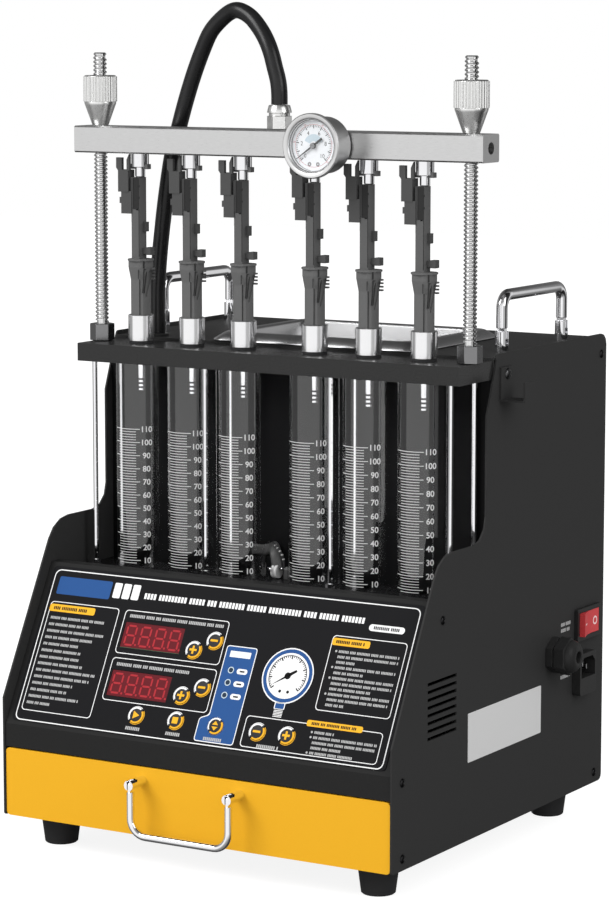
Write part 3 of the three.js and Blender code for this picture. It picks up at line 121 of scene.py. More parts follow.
camera = bpy.data.objects.new("camera", bpy.data.cameras.new("camera"))
bpy.context.scene.collection.objects.link(camera)
camera.location = place(*CAMERA_PLACE)
camera.rotation_euler = (math.radians(90 - CAMERA_TILT), 0, math.radians(CAMERA_TURN))
camera.data.lens = CAMERA_LENS
bpy.context.scene.camera = camera

HOSE_ROUTE = [
    (0, 127.1, 568.3), (0, 127.1, 574), (-0.3, 127.1, 580), (-1.6, 127.4, 587), (-4.6, 128, 596), (-9, 129, 608.3),
    (-15.9, 131, 619.7), (-25.1, 133, 630), (-33.4, 135, 635.7), (-43.1, 137, 638.8), (-52, 139, 637),
    (-63, 141, 630), (-71.6, 142, 621.5), (-79.5, 144, 609), (-87.5, 146, 594), (-94.8, 148, 578.5),
    (-101.1, 149.5, 563), (-107.4, 151.5, 547), (-114.9, 153.5, 526.3), (-122, 156, 497), (-127.5, 158.5, 471),
    (-131.8, 160.5, 447), (-134.7, 161.7, 422), (-135.3, 162, 405), (-135.3, 162, 395), (-135.3, 162, 385.7),
]
HOSE_RADIUS = 6.25


# Materials

def add(tree, kind, *links, **values):
    """A shader node with its settings, and its inputs by place or name, from values or outputs."""
    node = tree.nodes.new(kind)
    for key, value in values.items():
        setattr(node, key, value)
    for socket, source in links:
        if hasattr(source, "is_linked"):
            tree.links.new(source, node.inputs[socket])
        else:
            node.inputs[socket].default_value = source
    return node


def worked(tree, operation, *sources):
    """The result of a Math node."""
    return add(tree, "ShaderNodeMath", *enumerate(sources), operation=operation).outputs[0]


def any_ray(tree, *kinds):
    """1 for a ray of one of these kinds, as the Light Path node names them, and 0 for others."""
    path = add(tree, "ShaderNodeLightPath")
    found = path.outputs[kinds[0]]
    for kind in kinds[1:]:
        found = worked(tree, "MAXIMUM", found, path.outputs[kind])
    return found


def principled(name, color, roughness, metallic=0.0, **inputs):
    """A material with one Principled shader; inputs are more of its sockets, by name with _ for a space."""
    material = bpy.data.materials.new(name)
    material.use_nodes = True
    shader = material.node_tree.nodes["Principled BSDF"]
    shader.inputs["Base Color"].default_value = (*color, 1)
    shader.inputs["Roughness"].default_value = roughness
    shader.inputs["Metallic"].default_value = metallic
    for socket, value in inputs.items():
        shader.inputs[socket.replace("_", " ")].default_value = value
    return material


# The part of the noise that is spread over a whole range, and its detail
NOISE_LOW, NOISE_HIGH = 0.3, 0.7
NOISE_DETAIL = 3.0


def textured(material, grain, color_share=0.0, rough_share=0.0, bump=0.0, stretch=(1, 1, 1)):
    """Adds fine noise of that grain, in millimetres, to a material's colour, roughness and surface."""
    tree = material.node_tree
    shader = tree.nodes["Principled BSDF"]
    coords = add(tree, "ShaderNodeTexCoord").outputs["Object"]
    mapped = add(tree, "ShaderNodeMapping", ("Vector", coords), ("Scale", stretch)).outputs["Vector"]
    noise = add(tree, "ShaderNodeTexNoise", ("Vector", mapped), ("Scale", 1 / (grain * MM)),
                ("Detail", NOISE_DETAIL)).outputs["Fac"]
    if color_share:
        base = shader.inputs["Base Color"].default_value[:3]
        ramp = add(tree, "ShaderNodeValToRGB", ("Fac", noise))
        low, high = ramp.color_ramp.elements
        low.position, high.position = NOISE_LOW, NOISE_HIGH
        low.color = (*[c * (1 - color_share) for c in base], 1)
        high.color = (*[min(1, c * (1 + color_share)) for c in base], 1)
        tree.links.new(ramp.outputs["Color"], shader.inputs["Base Color"])
    if rough_share:
        rough = shader.inputs["Roughness"].default_value
        spread = add(tree, "ShaderNodeMapRange", ("Value", noise), ("From Min", NOISE_LOW),
                     ("From Max", NOISE_HIGH), ("To Min", rough * (1 - rough_share)),
                     ("To Max", min(1, rough * (1 + rough_share))))
        tree.links.new(spread.outputs["Result"], shader.inputs["Roughness"])
    if bump:
        relief = add(tree, "ShaderNodeBump", ("Height", noise), ("Strength", bump), ("Distance", grain * MM / 4))
        tree.links.new(relief.outputs["Normal"], shader.inputs["Normal"])
    return material


# One row a material: screen colour or grey level, roughness, metal share, specular level, then the noise:
# its grain in millimetres, its share of the colour and of the roughness, its bump and its stretch
FINISHES = {
    # This row and console_coat are one black coat in two copies. This lighter one, on the side panels, rear panel
    # and deck, carries painted sheen for the light that falls on them.
    "black_powder_coat": (55, 0.55, 0, 0.06, 0.8, 0.08, 0.15, 0.25),
    "console_coat": (44, 0.55, 0, 0.04, 0.8, 0.08, 0.15, 0.25),
    "gloss_black": ((30, 30, 31), 0.22, 0, 0.3, 3, 0.05, 0.2, 0.02),
    "wall_black": ((17, 17, 18), 0.5, 0, 0.06, 0.8, 0.06, 0.15, 0.2),
    "yellow_coat": ((255, 189, 43), 0.5, 0, 0.1, 0.9, 0.02, 0.2, 0.1),
    "overlay_film": ((28, 28, 30), 0.5, 0, 0.04, 0.5, 0.05, 0.15, 0.1),
    "chrome": ((244, 244, 246), 0.07, 1, 0.5, 6, 0.02, 0.3, 0.01),
    "brushed_steel": ((196, 196, 197), 0.28, 1, 0.5, 0.4, 0.08, 0.25, 0.06, (1, 14, 14)),
    "thread_steel": (226, 0.14, 1, 0.5, 1.2, 0.05, 0.2, 0.02),
    "zinc_plated": ((176, 176, 174), 0.28, 1, 0.5, 1.5, 0.08, 0.3, 0.05),
    "satin_aluminium": (205, 0.33, 1, 0.5, 0.5, 0.04, 0.2, 0.05, (0.1, 1, 1)),
    "cup_steel": ((244, 244, 245), 0.19, 1, 0.5, 0.5, 0.02, 0.15, 0.01),
    "bench_black": (42, 0.28, 0, 0.25, 0.8, 0.05, 0.15, 0.04),
    "nut_steel": ((238, 238, 237), 0.3, 1, 0.5, 0.5, 0.04, 0.2, 0.04),
    "grey_print": (150, 0.5, 0, 0.1, 0.4, 0.03, 0.1, 0.02),
    "gauge_steel": (216, 0.36, 1, 0.5, 0.5, 0.04, 0.2, 0.03),
    "coupling_steel": ((132, 132, 133), 0.2, 1, 0.5, 1, 0.06, 0.3, 0.04),
    "dark_steel": ((96, 96, 97), 0.34, 1, 0.5, 1, 0.12, 0.3, 0.06),
    "pale_union": (208, 0.4, 0, 0.3, 0.8, 0.06, 0.2, 0.05),
    "black_steel": ((46, 46, 47), 0.3, 1, 0.5, 1, 0.12, 0.3, 0.06),
    "black_plastic": (44, 0.38, 0, 0.15, 0.5, 0.06, 0.2, 0.12),
    "grey_plastic": (106, 0.5, 0, 0.12, 0.6, 0.06, 0.2, 0.1),
    "dark_grey_plastic": (98, 0.5, 0, 0.12, 0.6, 0.06, 0.2, 0.1),
    "side_grey": (66, 0.5, 0, 0.12, 0.6, 0.06, 0.2, 0.1),
    "connector_grey": (82, 0.5, 0, 0.12, 0.6, 0.06, 0.2, 0.1),
    "sleeve_black": (50, 0.5, 0, 0.1, 0.6, 0.08, 0.2, 0.1),
    "rubber": ((50, 50, 51), 0.65, 0, 0.15, 0.7, 0.1, 0.15, 0.15),
    "hose_rubber": ((24, 24, 25), 0.3, 0, 0.4, 0.7, 0.08, 0.15, 0.06),
    "drain_rubber": (74, 0.4, 0, 0.3, 0.7, 0.08, 0.2, 0.1),
    "red_plastic": ((210, 66, 70), 0.35, 0, 0.25, 1, 0.04, 0.2, 0.03),
    "rocker_white": ((250, 215, 215), 0.4, 0, 0.1, 0.5, 0.02, 0.1, 0.01),
    "plate_white": (218, 0.45, 0, 0.2, 0.6, 0.02, 0.15, 0.02),
    # Also the white arcs of the key rings, a painted highlight
    "white_print": (250, 0.5, 0, 0.1, 0.4, 0.01, 0.1, 0.02),
    "scale_print": (228, 0.5, 0, 0.1, 0.4, 0.02, 0.1, 0.02),
    # Also the pale beads on the drain line, painted highlights
    "small_print": (186, 0.5, 0, 0.1, 0.4, 0.03, 0.1, 0.02),
    "yellow_print": ((250, 186, 44), 0.5, 0, 0.1, 0.4, 0.03, 0.1, 0.02),
    "blue_print": ((38, 84, 146), 0.5, 0, 0.1, 0.6, 0.05, 0.1, 0.02),
    "lamp_blue": ((28, 50, 72), 0.4, 0, 0.1, 0.6, 0.05, 0.1, 0.02),
    "sky_print": ((204, 220, 228), 0.5, 0, 0.1, 0.6, 0.04, 0.1, 0.02),
    "red_print": ((196, 96, 100), 0.5, 0, 0.1, 0.4, 0.03, 0.1, 0.02),
    "black_print": (22, 0.5, 0, 0.1, 0.4, 0.03, 0.1, 0.02),
    "dial_white": ((248, 250, 252), 0.45, 0, 0.1, 0.8, 0.02, 0.1, 0.01),
    "display_red": ((102, 20, 30), 0.35, 0, 0.06, 0.5, 0.08, 0.1, 0.02),
    "segment_red": ((176, 46, 54), 0.4, 0, 0.06, 0.4, 0.04, 0.1, 0.02),
    "board_green": ((26, 80, 44), 0.4, 0, 0.3, 0.5, 0.08, 0.2, 0.05),
    "tank_plastic": ((214, 214, 200), 0.45, 0, 0.4, 1.2, 0.04, 0.2, 0.05),
    "key_dark": ((40, 40, 42), 0.4, 0, 0.15, 0.5, 0.05, 0.15, 0.06),
}


def finish(name, color, roughness, metal, specular, *noise):
    levels = color if isinstance(color, tuple) else (color,) * 3
    return textured(principled(name, srgb(*levels), roughness, metal, Specular_IOR_Level=specular), *noise)


CLEAR_IOR = 1.001
COAT_IOR = 1.9
COAT_ROUGHNESS = 0.02


def clear(name, color):
    """A clear plastic or glass. Only its first surface reflects, the rest lets all light straight through."""
    material = principled(name, srgb(*color), 0.0, Transmission_Weight=1.0, IOR=CLEAR_IOR, Coat_Weight=1.0,
                          Coat_Roughness=COAT_ROUGHNESS, Coat_IOR=COAT_IOR)
    textured(material, 8, bump=0.002)
    tree = material.node_tree
    passing = any_ray(tree, "Is Shadow Ray", "Is Diffuse Ray", "Is Transmission Ray")
    through = add(tree, "ShaderNodeBsdfTransparent").outputs[0]
    mix = add(tree, "ShaderNodeMixShader", (0, passing), (1, tree.nodes["Principled BSDF"].outputs[0]),
              (2, through))
    tree.links.new(mix.outputs[0], tree.nodes["Material Output"].inputs["Surface"])
    return material


LOOKS = SimpleNamespace(**{name: finish(name, *values) for name, values in FINISHES.items()})
TUBE_CLEAR = clear("tube_clear", (250, 250, 250))
LENS_CLEAR = clear("lens_clear", (250, 252, 255))


# Mesh helpers. Every form is a list of points and a list of faces, in millimetres.

EDGE_ANGLE = 32
# Turns of a form whose Z points out of a surface: out of the front, out of the right side with its X along the
# cabinet's depth, and out of the right side with its X down
FACE_ON = Matrix.Rotation(math.pi / 2, 3, "X")
SIDE_ON = Matrix(((0, 0, 1), (1, 0, 0), (0, 1, 0)))
SIDEWAYS = Matrix(((0, 0, 1), (0, 1, 0), (-1, 0, 0)))


def piece(name, form, material, at=(0, 0, 0), bevel=0.0, body="casing", node=None, angle=EDGE_ANGLE, turn=None):
    """A named mesh at a place of the cabinet, riding on a body; node is the CAD node that it replaces."""
    points, faces = form
    mesh = bpy.data.meshes.new(name)
    scaled = [Vector(point) * MM for point in points]
    mesh.from_pydata([turn @ point for point in scaled] if turn else scaled, [], faces)
    mesh.update()
    item = dressed(bpy.data.objects.new(name, mesh), material, body, at, bevel, angle)
    if node:
        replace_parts(item, node)
    return item


def dressed(item, material, body, at=(0, 0, 0), bevel=0.0, angle=EDGE_ANGLE):
    """Links an object, gives it its material, soft edges and body."""
    bpy.context.scene.collection.objects.link(item)
    item.location = place(*at)
    mesh = item.data
    if material:
        mesh.materials.append(material)
    tidy = bmesh.new()
    tidy.from_mesh(mesh)
    bmesh.ops.recalc_face_normals(tidy, faces=tidy.faces)
    tidy.to_mesh(mesh)
    tidy.free()
    mesh.shade_smooth()
    mesh.set_sharp_from_angle(angle=math.radians(angle))
    if bevel:
        soften(item, bevel, angle)
    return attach(item, body) if body else item


def soften(item, width, angle=EDGE_ANGLE):
    edge = item.modifiers.new("soft_edges", "BEVEL")
    edge.width = width * MM
    edge.segments = 2
    edge.limit_method = "ANGLE"
    edge.angle_limit = math.radians(angle)
    edge.harden_normals = True


def joined(*forms):
    points, faces = [], []
    for more_points, more_faces in forms:
        start = len(points)
        points += [tuple(point) for point in more_points]
        faces += [tuple(start + i for i in face) for face in more_faces]
    return points, faces


def moved(form, x=0, y=0, z=0, matrix=None):
    points, faces = form
    if matrix:
        points = [matrix @ Vector(point) for point in points]
    return [(p[0] + x, p[1] + y, p[2] + z) for p in points], faces


def rings(loops, closed=False, caps=True):
    """A skin through loops of equal count."""
    count = len(loops[0])
    faces = []
    steps = len(loops) if closed else len(loops) - 1
    for ring in range(steps):
        a, b = ring * count, (ring + 1) % len(loops) * count
        faces += [(a + i, a + (i + 1) % count, b + (i + 1) % count, b + i) for i in range(count)]
    if caps and not closed:
        faces += [tuple(range(count))[::-1], tuple(range((len(loops) - 1) * count, len(loops) * count))]
    return [point for loop in loops for point in loop], faces


def circle(radius, sides, z=0.0, phase=0.0):
    angles = [2 * math.pi * (i + phase) / sides for i in range(sides)]
    return [(radius * math.cos(a), radius * math.sin(a), z) for a in angles]


def arc(radius, start, end, step):
    """Flat points on a circle from one angle to another, in whole degrees."""
    angles = [math.radians(a) for a in range(start, end, step)]
    return [(radius * math.cos(a), radius * math.sin(a)) for a in angles]


def hexagon(across, phase=0.0):
    """The outline of a hexagon by its width across its flats."""
    return [(x, y) for x, y, _ in circle(across / 2 / math.cos(math.pi / 6), 6, phase=phase)]


def lathe(profile, sides=48):
    """A profile of (radius, height) turned about Z. A profile that ends where it starts is a ring."""
    closed = profile[0] == profile[-1]
    loops = [circle(max(radius, 0.001), sides, z) for radius, z in (profile[:-1] if closed else profile)]
    return rings(loops, closed)


def rounded(width, height, radius, steps=6, x=0.0, y=0.0):
    """The outline of a rectangle with round corners, as (x, y) points."""
    corners = [(1, 1, 0), (-1, 1, 90), (-1, -1, 180), (1, -1, 270)]
    outline = []
    for side, end, start in corners:
        for k in range(steps + 1):
            angle = math.radians(start + 90 * k / steps)
            outline.append((x + side * (width / 2 - radius) + radius * math.cos(angle),
                            y + end * (height / 2 - radius) + radius * math.sin(angle)))
    return outline


def slab(outline, low, high):
    """A flat outline thickened from low to high along Z."""
    return rings([[(x, y, z) for x, y in outline] for z in (low, high)])


def box(x0, x1, y0, y1, z0, z1):
    return slab([(x1, y1), (x0, y1), (x0, y0), (x1, y0)], z0, z1)


def bend(corners, radius, steps=8):
    """A path whose corners are bent by one radius."""
    corners = [Vector(corner) for corner in corners]
    path = [corners[0]]
    for before, corner, after in zip(corners, corners[1:], corners[2:]):
        one, two = (before - corner).normalized(), (after - corner).normalized()
        half = one.angle(two) / 2
        centre = corner + (one + two).normalized() * radius / math.sin(half)
        start = corner + one * radius / math.tan(half) - centre
        axis = start.cross(corner + two * radius / math.tan(half) - centre).normalized()
        turns = [Matrix.Rotation((math.pi - 2 * half) * k / steps, 3, axis) for k in range(steps + 1)]
        path += [centre + turn @ start for turn in turns]
    return path + [corners[-1]]


def rod(path, radius, sides=24):
    """A round rod along a path."""
    path = [Vector(point) for point in path]
    loops = []
    side = None
    for i, point in enumerate(path):
        tangent = (path[min(i + 1, len(path) - 1)] - path[max(i - 1, 0)]).normalized()
        if side is None:
            side = tangent.orthogonal()
        side = (side - tangent * side.dot(tangent)).normalized()
        up = tangent.cross(side)
        loops.append([point + (side * math.cos(2 * math.pi * k / sides)
                               + up * math.sin(2 * math.pi * k / sides)) * radius for k in range(sides)])
    return rings(loops)


def smooth_path(points, steps):
    """Points on a smooth curve through the given ones."""
    points = [Vector(point) for point in points]
    ends = [2 * points[0] - points[1]] + points + [2 * points[-1] - points[-2]]
    path = []
    for a, b, c, d in zip(ends, ends[1:], ends[2:], ends[3:]):
        for k in range(steps):
            t = k / steps
            path.append(b + (c - a) * t / 2 + (2 * a - 5 * b + 4 * c - d) * t * t / 2
                        + (3 * b - a - 3 * c + d) * t ** 3 / 2)
    return path + [points[-1]]


def glyphs(body, size, bold=0.0):
    """Plain digits and signs as flat faces, centred, with that height in millimetres."""
    curve = bpy.data.curves.new("glyphs", "FONT")
    curve.body = body
    curve.align_x = "CENTER"
    curve.offset = bold
    holder = bpy.data.objects.new("glyphs", curve)
    bpy.context.scene.collection.objects.link(holder)
    bpy.context.view_layer.update()
    mesh = bpy.data.meshes.new_from_object(holder.evaluated_get(bpy.context.evaluated_depsgraph_get()))
    high = max(v.co.y for v in mesh.vertices)
    low = min(v.co.y for v in mesh.vertices)
    scale = size / (high - low)
    points = [(v.co.x * scale, (v.co.y - (high + low) / 2) * scale, 0) for v in mesh.vertices]
    faces = [tuple(polygon.vertices) for polygon in mesh.polygons]
    bpy.data.objects.remove(holder)
    bpy.data.meshes.remove(mesh)
    bpy.data.curves.remove(curve)
    return points, faces


def recoloured(node, name, pick, materials, keep=None, bevel=0.3, body="casing"):
    """A copy of a CAD node with a material picked for each face by its centre, in the cabinet's frame."""
    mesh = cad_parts[node].data.copy()
    mesh.materials.clear()
    item = bpy.data.objects.new(name, mesh)
    work = bmesh.new()
    work.from_mesh(mesh)
    centre = lambda face: (face.calc_center_median() - ORIGIN) / MM
    if keep:
        bmesh.ops.delete(work, geom=[face for face in work.faces if not keep(centre(face))], context="FACES")
    for face in work.faces:
        face.material_index = pick(centre(face))
    work.to_mesh(mesh)
    work.free()
    mesh.transform(Matrix.Translation(-ORIGIN))
    for material in materials:
        mesh.materials.append(material)
    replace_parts(dressed(item, None, body, bevel=bevel), node)


def repainted(node, material, bevel):
    """A CAD node that stays, with a better material and soft edges."""
    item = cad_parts[node]
    item.data.materials.clear()
    item.data.materials.append(material)
    soften(item, bevel)


# Casing

# The CAD nodes that stay, by their material and the width of their soft edges
CASING_COATS = (
    # The side panels, rear panel and deck take the lighter copy of the black coat, painted sheen; the console and
    # base tray take the darker copy
    (LOOKS.black_powder_coat, 0.35, ("side_panel_left", "side_panel_right", "rear_panel")),
    (LOOKS.console_coat, 0.35, ("base_tray", "console_shell")),
    (LOOKS.satin_aluminium, 0.4, ("ultrasonic_transducer",)),
    (LOOKS.tank_plastic, 0.4, ("fuel_tank",)),
    (LOOKS.zinc_plated, 0.4, ("fuel_pump", "power_supply", "drawer_box")),
)


def make_casing():
    for material, bevel, nodes in CASING_COATS:
        for node in nodes:
            repainted(node, material, bevel)
    make_feet()
    make_screws()
    make_side_plate()


def make_feet():
    profile = [(2.2, 24.5), (2.2, 8), (6, 8), (6, 0), (11.9, 0), (12.8, 0.8), (15.8, 23.6), (15.2, 24.5),
               (2.2, 24.5)]
    for node in ("foot_front_left", "foot_rear_left", "foot_front_right", "foot_rear_right"):
        low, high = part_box(node)
        middle = ((low + high) / 2 - ORIGIN) / MM
        piece(node + "_rubber", lathe(profile), LOOKS.rubber, (middle.x, middle.y, 0), node=node)


SCREW_RADIUS = 3.4
SIDE_SCREWS = ((15.7, 33.3), (15.1, 89.5), (74.4, 198.3), (327.9, 33), (332.6, 370))
HOOK_SCREW_RADIUS = 4.3
HOOK_SCREW = (HALF + 1.5, 170.5, 370.1)


def make_screw(name, material, radius, x, y, z):
    """A pan head on a side panel, with a raised cross of dark plastic for its recess: painted shade."""
    dome = [(radius * math.sin(math.radians(a)), radius * 0.55 * math.cos(math.radians(a)))
            for a in range(90, -1, -10)]
    half, slot, depth = radius * 0.475, radius * 0.16, radius * 0.35
    cross = joined(box(-half, half, -slot, slot, depth, 0.562 * radius),
                   box(-slot, slot, -half, half, depth, 0.564 * radius))
    turn = Matrix.Rotation(math.copysign(math.pi / 2, x), 3, "Y")
    piece(name, lathe([(0.9 * radius, -0.2)] + dome, 24), material, (x, y, z), turn=turn)
    piece(name + "_recess_shade", cross, LOOKS.black_plastic, (x, y, z), turn=turn)


def make_screws():
    for side, word in SIDES[::-1]:
        for number, (y, z) in enumerate(SIDE_SCREWS):
            make_screw(f"side_screw_{word}_{number}", LOOKS.black_steel, SCREW_RADIUS, side * HALF, y, z)
    make_screw("hook_screw", LOOKS.dark_steel, HOOK_SCREW_RADIUS, *HOOK_SCREW)


def make_side_plate():
    outline = rounded(118.8, 37.3, 1)
    piece("side_plate", slab(outline, 0, 0.5), LOOKS.plate_white, (HALF, 172.9, 102.75), 0.15, turn=SIDE_ON)


# Upper shell with its posts, the folding handles

POST_X = 153.5
POST_YS = (197.9, 298.1)
PIVOT = 392.4


def make_deck():
    # The upper shell takes the lighter copy of the black coat, painted sheen
    recoloured("upper_shell", "upper_shell_sheet", lambda c: 1 if c.z < BENCH_LOW and c.y < 170 else 0,
               [LOOKS.black_powder_coat, LOOKS.wall_black], lambda c: c.z <= DECK + 0.2, 0.35)
    post_low = lathe([(5.2, -0.1), (5.2, 5.6), (0, 5.6)], 32)
    ear = arc(5.15, 28, 153, 6)
    ear_low = [(x, -y) for x, y in ear][::-1]
    ears = joined(slab(ear, 5, 15.6), slab(ear_low, 5, 15.6))
    pin = rod([(0, -5.0, 9.5), (0, 5.0, 9.5)], 1.25, 16)
    for side, word in SIDES:
        for y, end in zip(POST_YS, ("front", "rear")):
            name, at = f"post_{word}_{end}", (side * POST_X, y, DECK)
            piece(name, post_low, LOOKS.chrome, at, 0.3)
            piece(name + "_ears", ears, LOOKS.chrome, at, 0.4)
            piece(name + "_pin", pin, LOOKS.brushed_steel, at, 0.2)
    collar = lathe([(4, -0.2), (9, -0.2), (9, 1.9), (8.4, 2.5), (4, 2.5), (4, -0.2)], 40)
    piece("hose_collar", collar, LOOKS.black_plastic, (-135.3, 162, DECK))


def make_handles():
    reach = POST_YS[1] - POST_YS[0]
    path = bend([(0, 0, 8.3), (0, 0, 33.2), (0, reach, 33.2), (0, reach, 8.3)], 10)
    tongue = [(-3.4, 8.6), (3.4, 8.6)] + arc(3.4, 0, -181, -20)
    flat = Matrix(((1, 0, 0), (0, 0, 1), (0, 1, 0)))
    ends = [moved(moved(slab(tongue, -1.9, 1.9), matrix=flat), y=y) for y in (0, reach)]
    for side, node in SIDES:
        at = (side * POST_X, POST_YS[0], PIVOT)
        piece(f"handle_{node}_rod", rod(path, 4.4), LOOKS.chrome, at, 0.5, f"{node}_handle", f"handle_{node}")
        for end, where in zip(ends, ("front", "rear")):
            piece(f"handle_{node}_tongue_{where}", end, LOOKS.chrome, at, 0.3, body=f"{node}_handle")


# Ultrasonic tank

# Its sections from the rim to the floor, each with its width, depth, corner radius and height over the deck
TANK_SKIN = (
    (183.8, 139.3, 10, 0.3), (185, 140.5, 10.5, 0.9), (184.6, 140.1, 10.4, 1.6), (172.5, 128, 11, 6.5),
    (170.5, 126, 12, 7.1), (158.5, 115.5, 15, 7.1), (156.6, 113.6, 14.6, 6.6), (155, 112, 14, 5),
    (155, 112, 14, -48.5), (152.6, 109.6, 13, -51.4), (147, 104, 11, -52.9),
)
TANK_UNDER = ((157, 114, 15, 0.3), (157, 114, 15, -49), (150, 107, 12, -53.9))
TANK_MIDDLE = (11.5, 222.8)


def make_tank():
    for name, sections, node in (("tank_skin", TANK_SKIN, "ultrasonic_tank"), ("tank_under", TANK_UNDER, None)):
        points, faces = rings([[(x, y, DECK + z) for x, y in rounded(width, depth, radius, 8)]
                               for width, depth, radius, z in sections], caps=False)
        floor = tuple(range(len(points) - len(points) // len(sections), len(points)))
        piece(name, moved((points, faces + [floor]), *TANK_MIDDLE), LOOKS.brushed_steel, node=node, angle=50)


# Drawer front with its posts, and the bail

BAIL_HALF = 43.2
BAIL_PIVOT = (-15.5, 67)


def make_drawer():
    recoloured("drawer_front", "drawer_front_pan",
               lambda c: 1 if c.y < 0.6 and abs(abs(c.x) - BAIL_HALF) < 5 else 0,
               [LOOKS.yellow_coat, LOOKS.chrome], bevel=0.4, body="drawer")
    path = bend([(-BAIL_HALF, 0, -5.2), (-BAIL_HALF, 0, -38), (BAIL_HALF, 0, -38), (BAIL_HALF, 0, -5.2)], 13)
    piece("bail_rod", rod(path, 2.95), LOOKS.chrome, (0, *BAIL_PIVOT), body="bail", node="drawer_handle", bevel=0.4)
    outline = [(-2.2, -5.7), (2.2, -5.7)] + arc(2.2, 0, 181, 20)
    tongue = moved(slab(outline, -1.1, 1.1), matrix=SIDE_ON)
    for side, word in SIDES:
        piece(f"bail_tongue_{word}", tongue, LOOKS.chrome, (side * BAIL_HALF, *BAIL_PIVOT), 0.2, body="bail")


# Console

def on_slope(x, s, height=0.0):
    """A point of the console's face: x across, s up the slope from its crease, height out of it."""
    y = CREASE[0] + s * math.sin(SLOPE) - height * math.cos(SLOPE)
    z = CREASE[1] + s * math.cos(SLOPE) + height * math.sin(SLOPE)
    return x, y, z


PRINT_LEVEL = 0.83


def printed(name, shapes, material, level=PRINT_LEVEL, body="casing"):
    """Flat shapes on the console's face as one printed layer."""
    points, faces = joined(*shapes)
    return piece(name, ([on_slope(x, s, level + z) for x, s, z in points], faces), material, body=body)


def patch(x0, x1, s0, s1, radius=0.0):
    if not radius:
        return [(x0, s0, 0), (x1, s0, 0), (x1, s1, 0), (x0, s1, 0)], [(0, 1, 2, 3)]
    outline = rounded(x1 - x0, s1 - s0, radius, 4, (x0 + x1) / 2, (s0 + s1) / 2)
    return [(x, s, 0) for x, s in outline], [tuple(range(len(outline)))]


def band(outer, inner):
    """The flat band between two outlines of equal count."""
    count = len(outer)
    points = [(*p, 0) for p in outer + inner]
    return points, [(i, (i + 1) % count, count + (i + 1) % count, count + i) for i in range(count)]


def border(x0, x1, s0, s1, width, radius=2.0):
    middle = (x0 + x1) / 2, (s0 + s1) / 2
    return band(rounded(x1 - x0, s1 - s0, radius, 5, *middle),
                rounded(x1 - x0 - 2 * width, s1 - s0 - 2 * width, radius - width * 0.6, 5, *middle))


def ring(x, s, outer, inner, start=0, end=360, steps=36):
    angles = [math.radians(start + (end - start) * k / steps) for k in range(steps + 1)]
    points = [(x + r * math.cos(a), s + r * math.sin(a), 0) for r in (outer, inner) for a in angles]
    count = steps + 1
    return points, [(k, k + 1, count + k + 1, count + k) for k in range(steps)]


def tick(x, s, angle, outer, inner, half):
    """A bar of a scale along a radius, at an angle in degrees."""
    c, d = math.cos(math.radians(angle)), math.sin(math.radians(angle))
    return polygon(*[(x + r * c - w * d, s + r * d + w * c)
                     for r, w in ((outer, -half), (outer, half), (inner, half), (inner, -half))])


def disc(x, s, radius, sides=24):
    return [(x + px, s + py, 0) for px, py, _ in circle(radius, sides)], [tuple(range(sides))]


def polygon(*corners):
    return [(x, s, 0) for x, s in corners], [tuple(range(len(corners)))]


# Seven bars of a digit, as (x share, s share, lies flat), for figures drawn in a box of width and height 1
BARS = ((0.5, 1, True), (0, 0.75, False), (1, 0.75, False), (0.5, 0.5, True), (0, 0.25, False), (1, 0.25, False),
        (0.5, 0, True))


def seven_bars(x, s, width, height, thick):
    """The seven bars of one digit, its middle at x, s."""
    shapes = []
    for across, up, flat in BARS:
        cx, cy = x + (across - 0.5) * (width - thick), s + (up - 0.5) * (height - thick)
        half = thick / 2
        long = (width - 1.6 * thick) / 2 if flat else (height / 2 - 1.2 * thick) / 2
        outline = [(-long, 0), (half - long, half), (long - half, half), (long, 0), (long - half, -half),
                   (half - long, -half)]
        shapes.append(polygon(*[(cx + a, cy + b) if flat else (cx + b, cy + a) for a, b in outline]))
    return shapes


# The keys, each with its middle and its sign
KEYS = {
    "value_up": (-19.8, 75, "+"), "value_down": (-3.6, 84, "-"), "count_up": (-19.8, 39, "+"),
    "count_down": (-3.6, 47, "-"), "start": (-54.4, 19.4, "play"), "stop": (-19, 19.4, "square"),
    "select": (16.3, 19.4, "both"), "pressure_down": (52.8, 19.4, "-"), "pressure_up": (78.1, 19.4, "+"),
}
KEY_TOP = 1.98
# The angles of the white part of a key's ring, a painted highlight on its upper left, and of its gold part
HIGHLIGHT_ARC, GOLD_ARC = (54, 216), (234, 396)


def key_sign(sign, x, s):
    bar, half = 3.2, 0.85
    if sign == "+":
        return [patch(x - bar, x + bar, s - half, s + half), patch(x - half, x + half, s - bar, s - half),
                patch(x - half, x + half, s + half, s + bar)]
    if sign == "-":
        return [patch(x - bar, x + bar, s - half, s + half)]
    if sign == "play":
        return [polygon((x - 2.2, s - 3.1), (x + 3.3, s), (x - 2.2, s + 3.1))]
    if sign == "square":
        return [patch(x - 2.5, x + 2.5, s - 2.5, s + 2.5)]
    return [polygon((x - 2.6, s + 0.7), (x + 2.6, s + 0.7), (x, s + 3.7)),
            polygon((x - 2.6, s - 0.7), (x, s - 3.7), (x + 2.6, s - 0.7))]


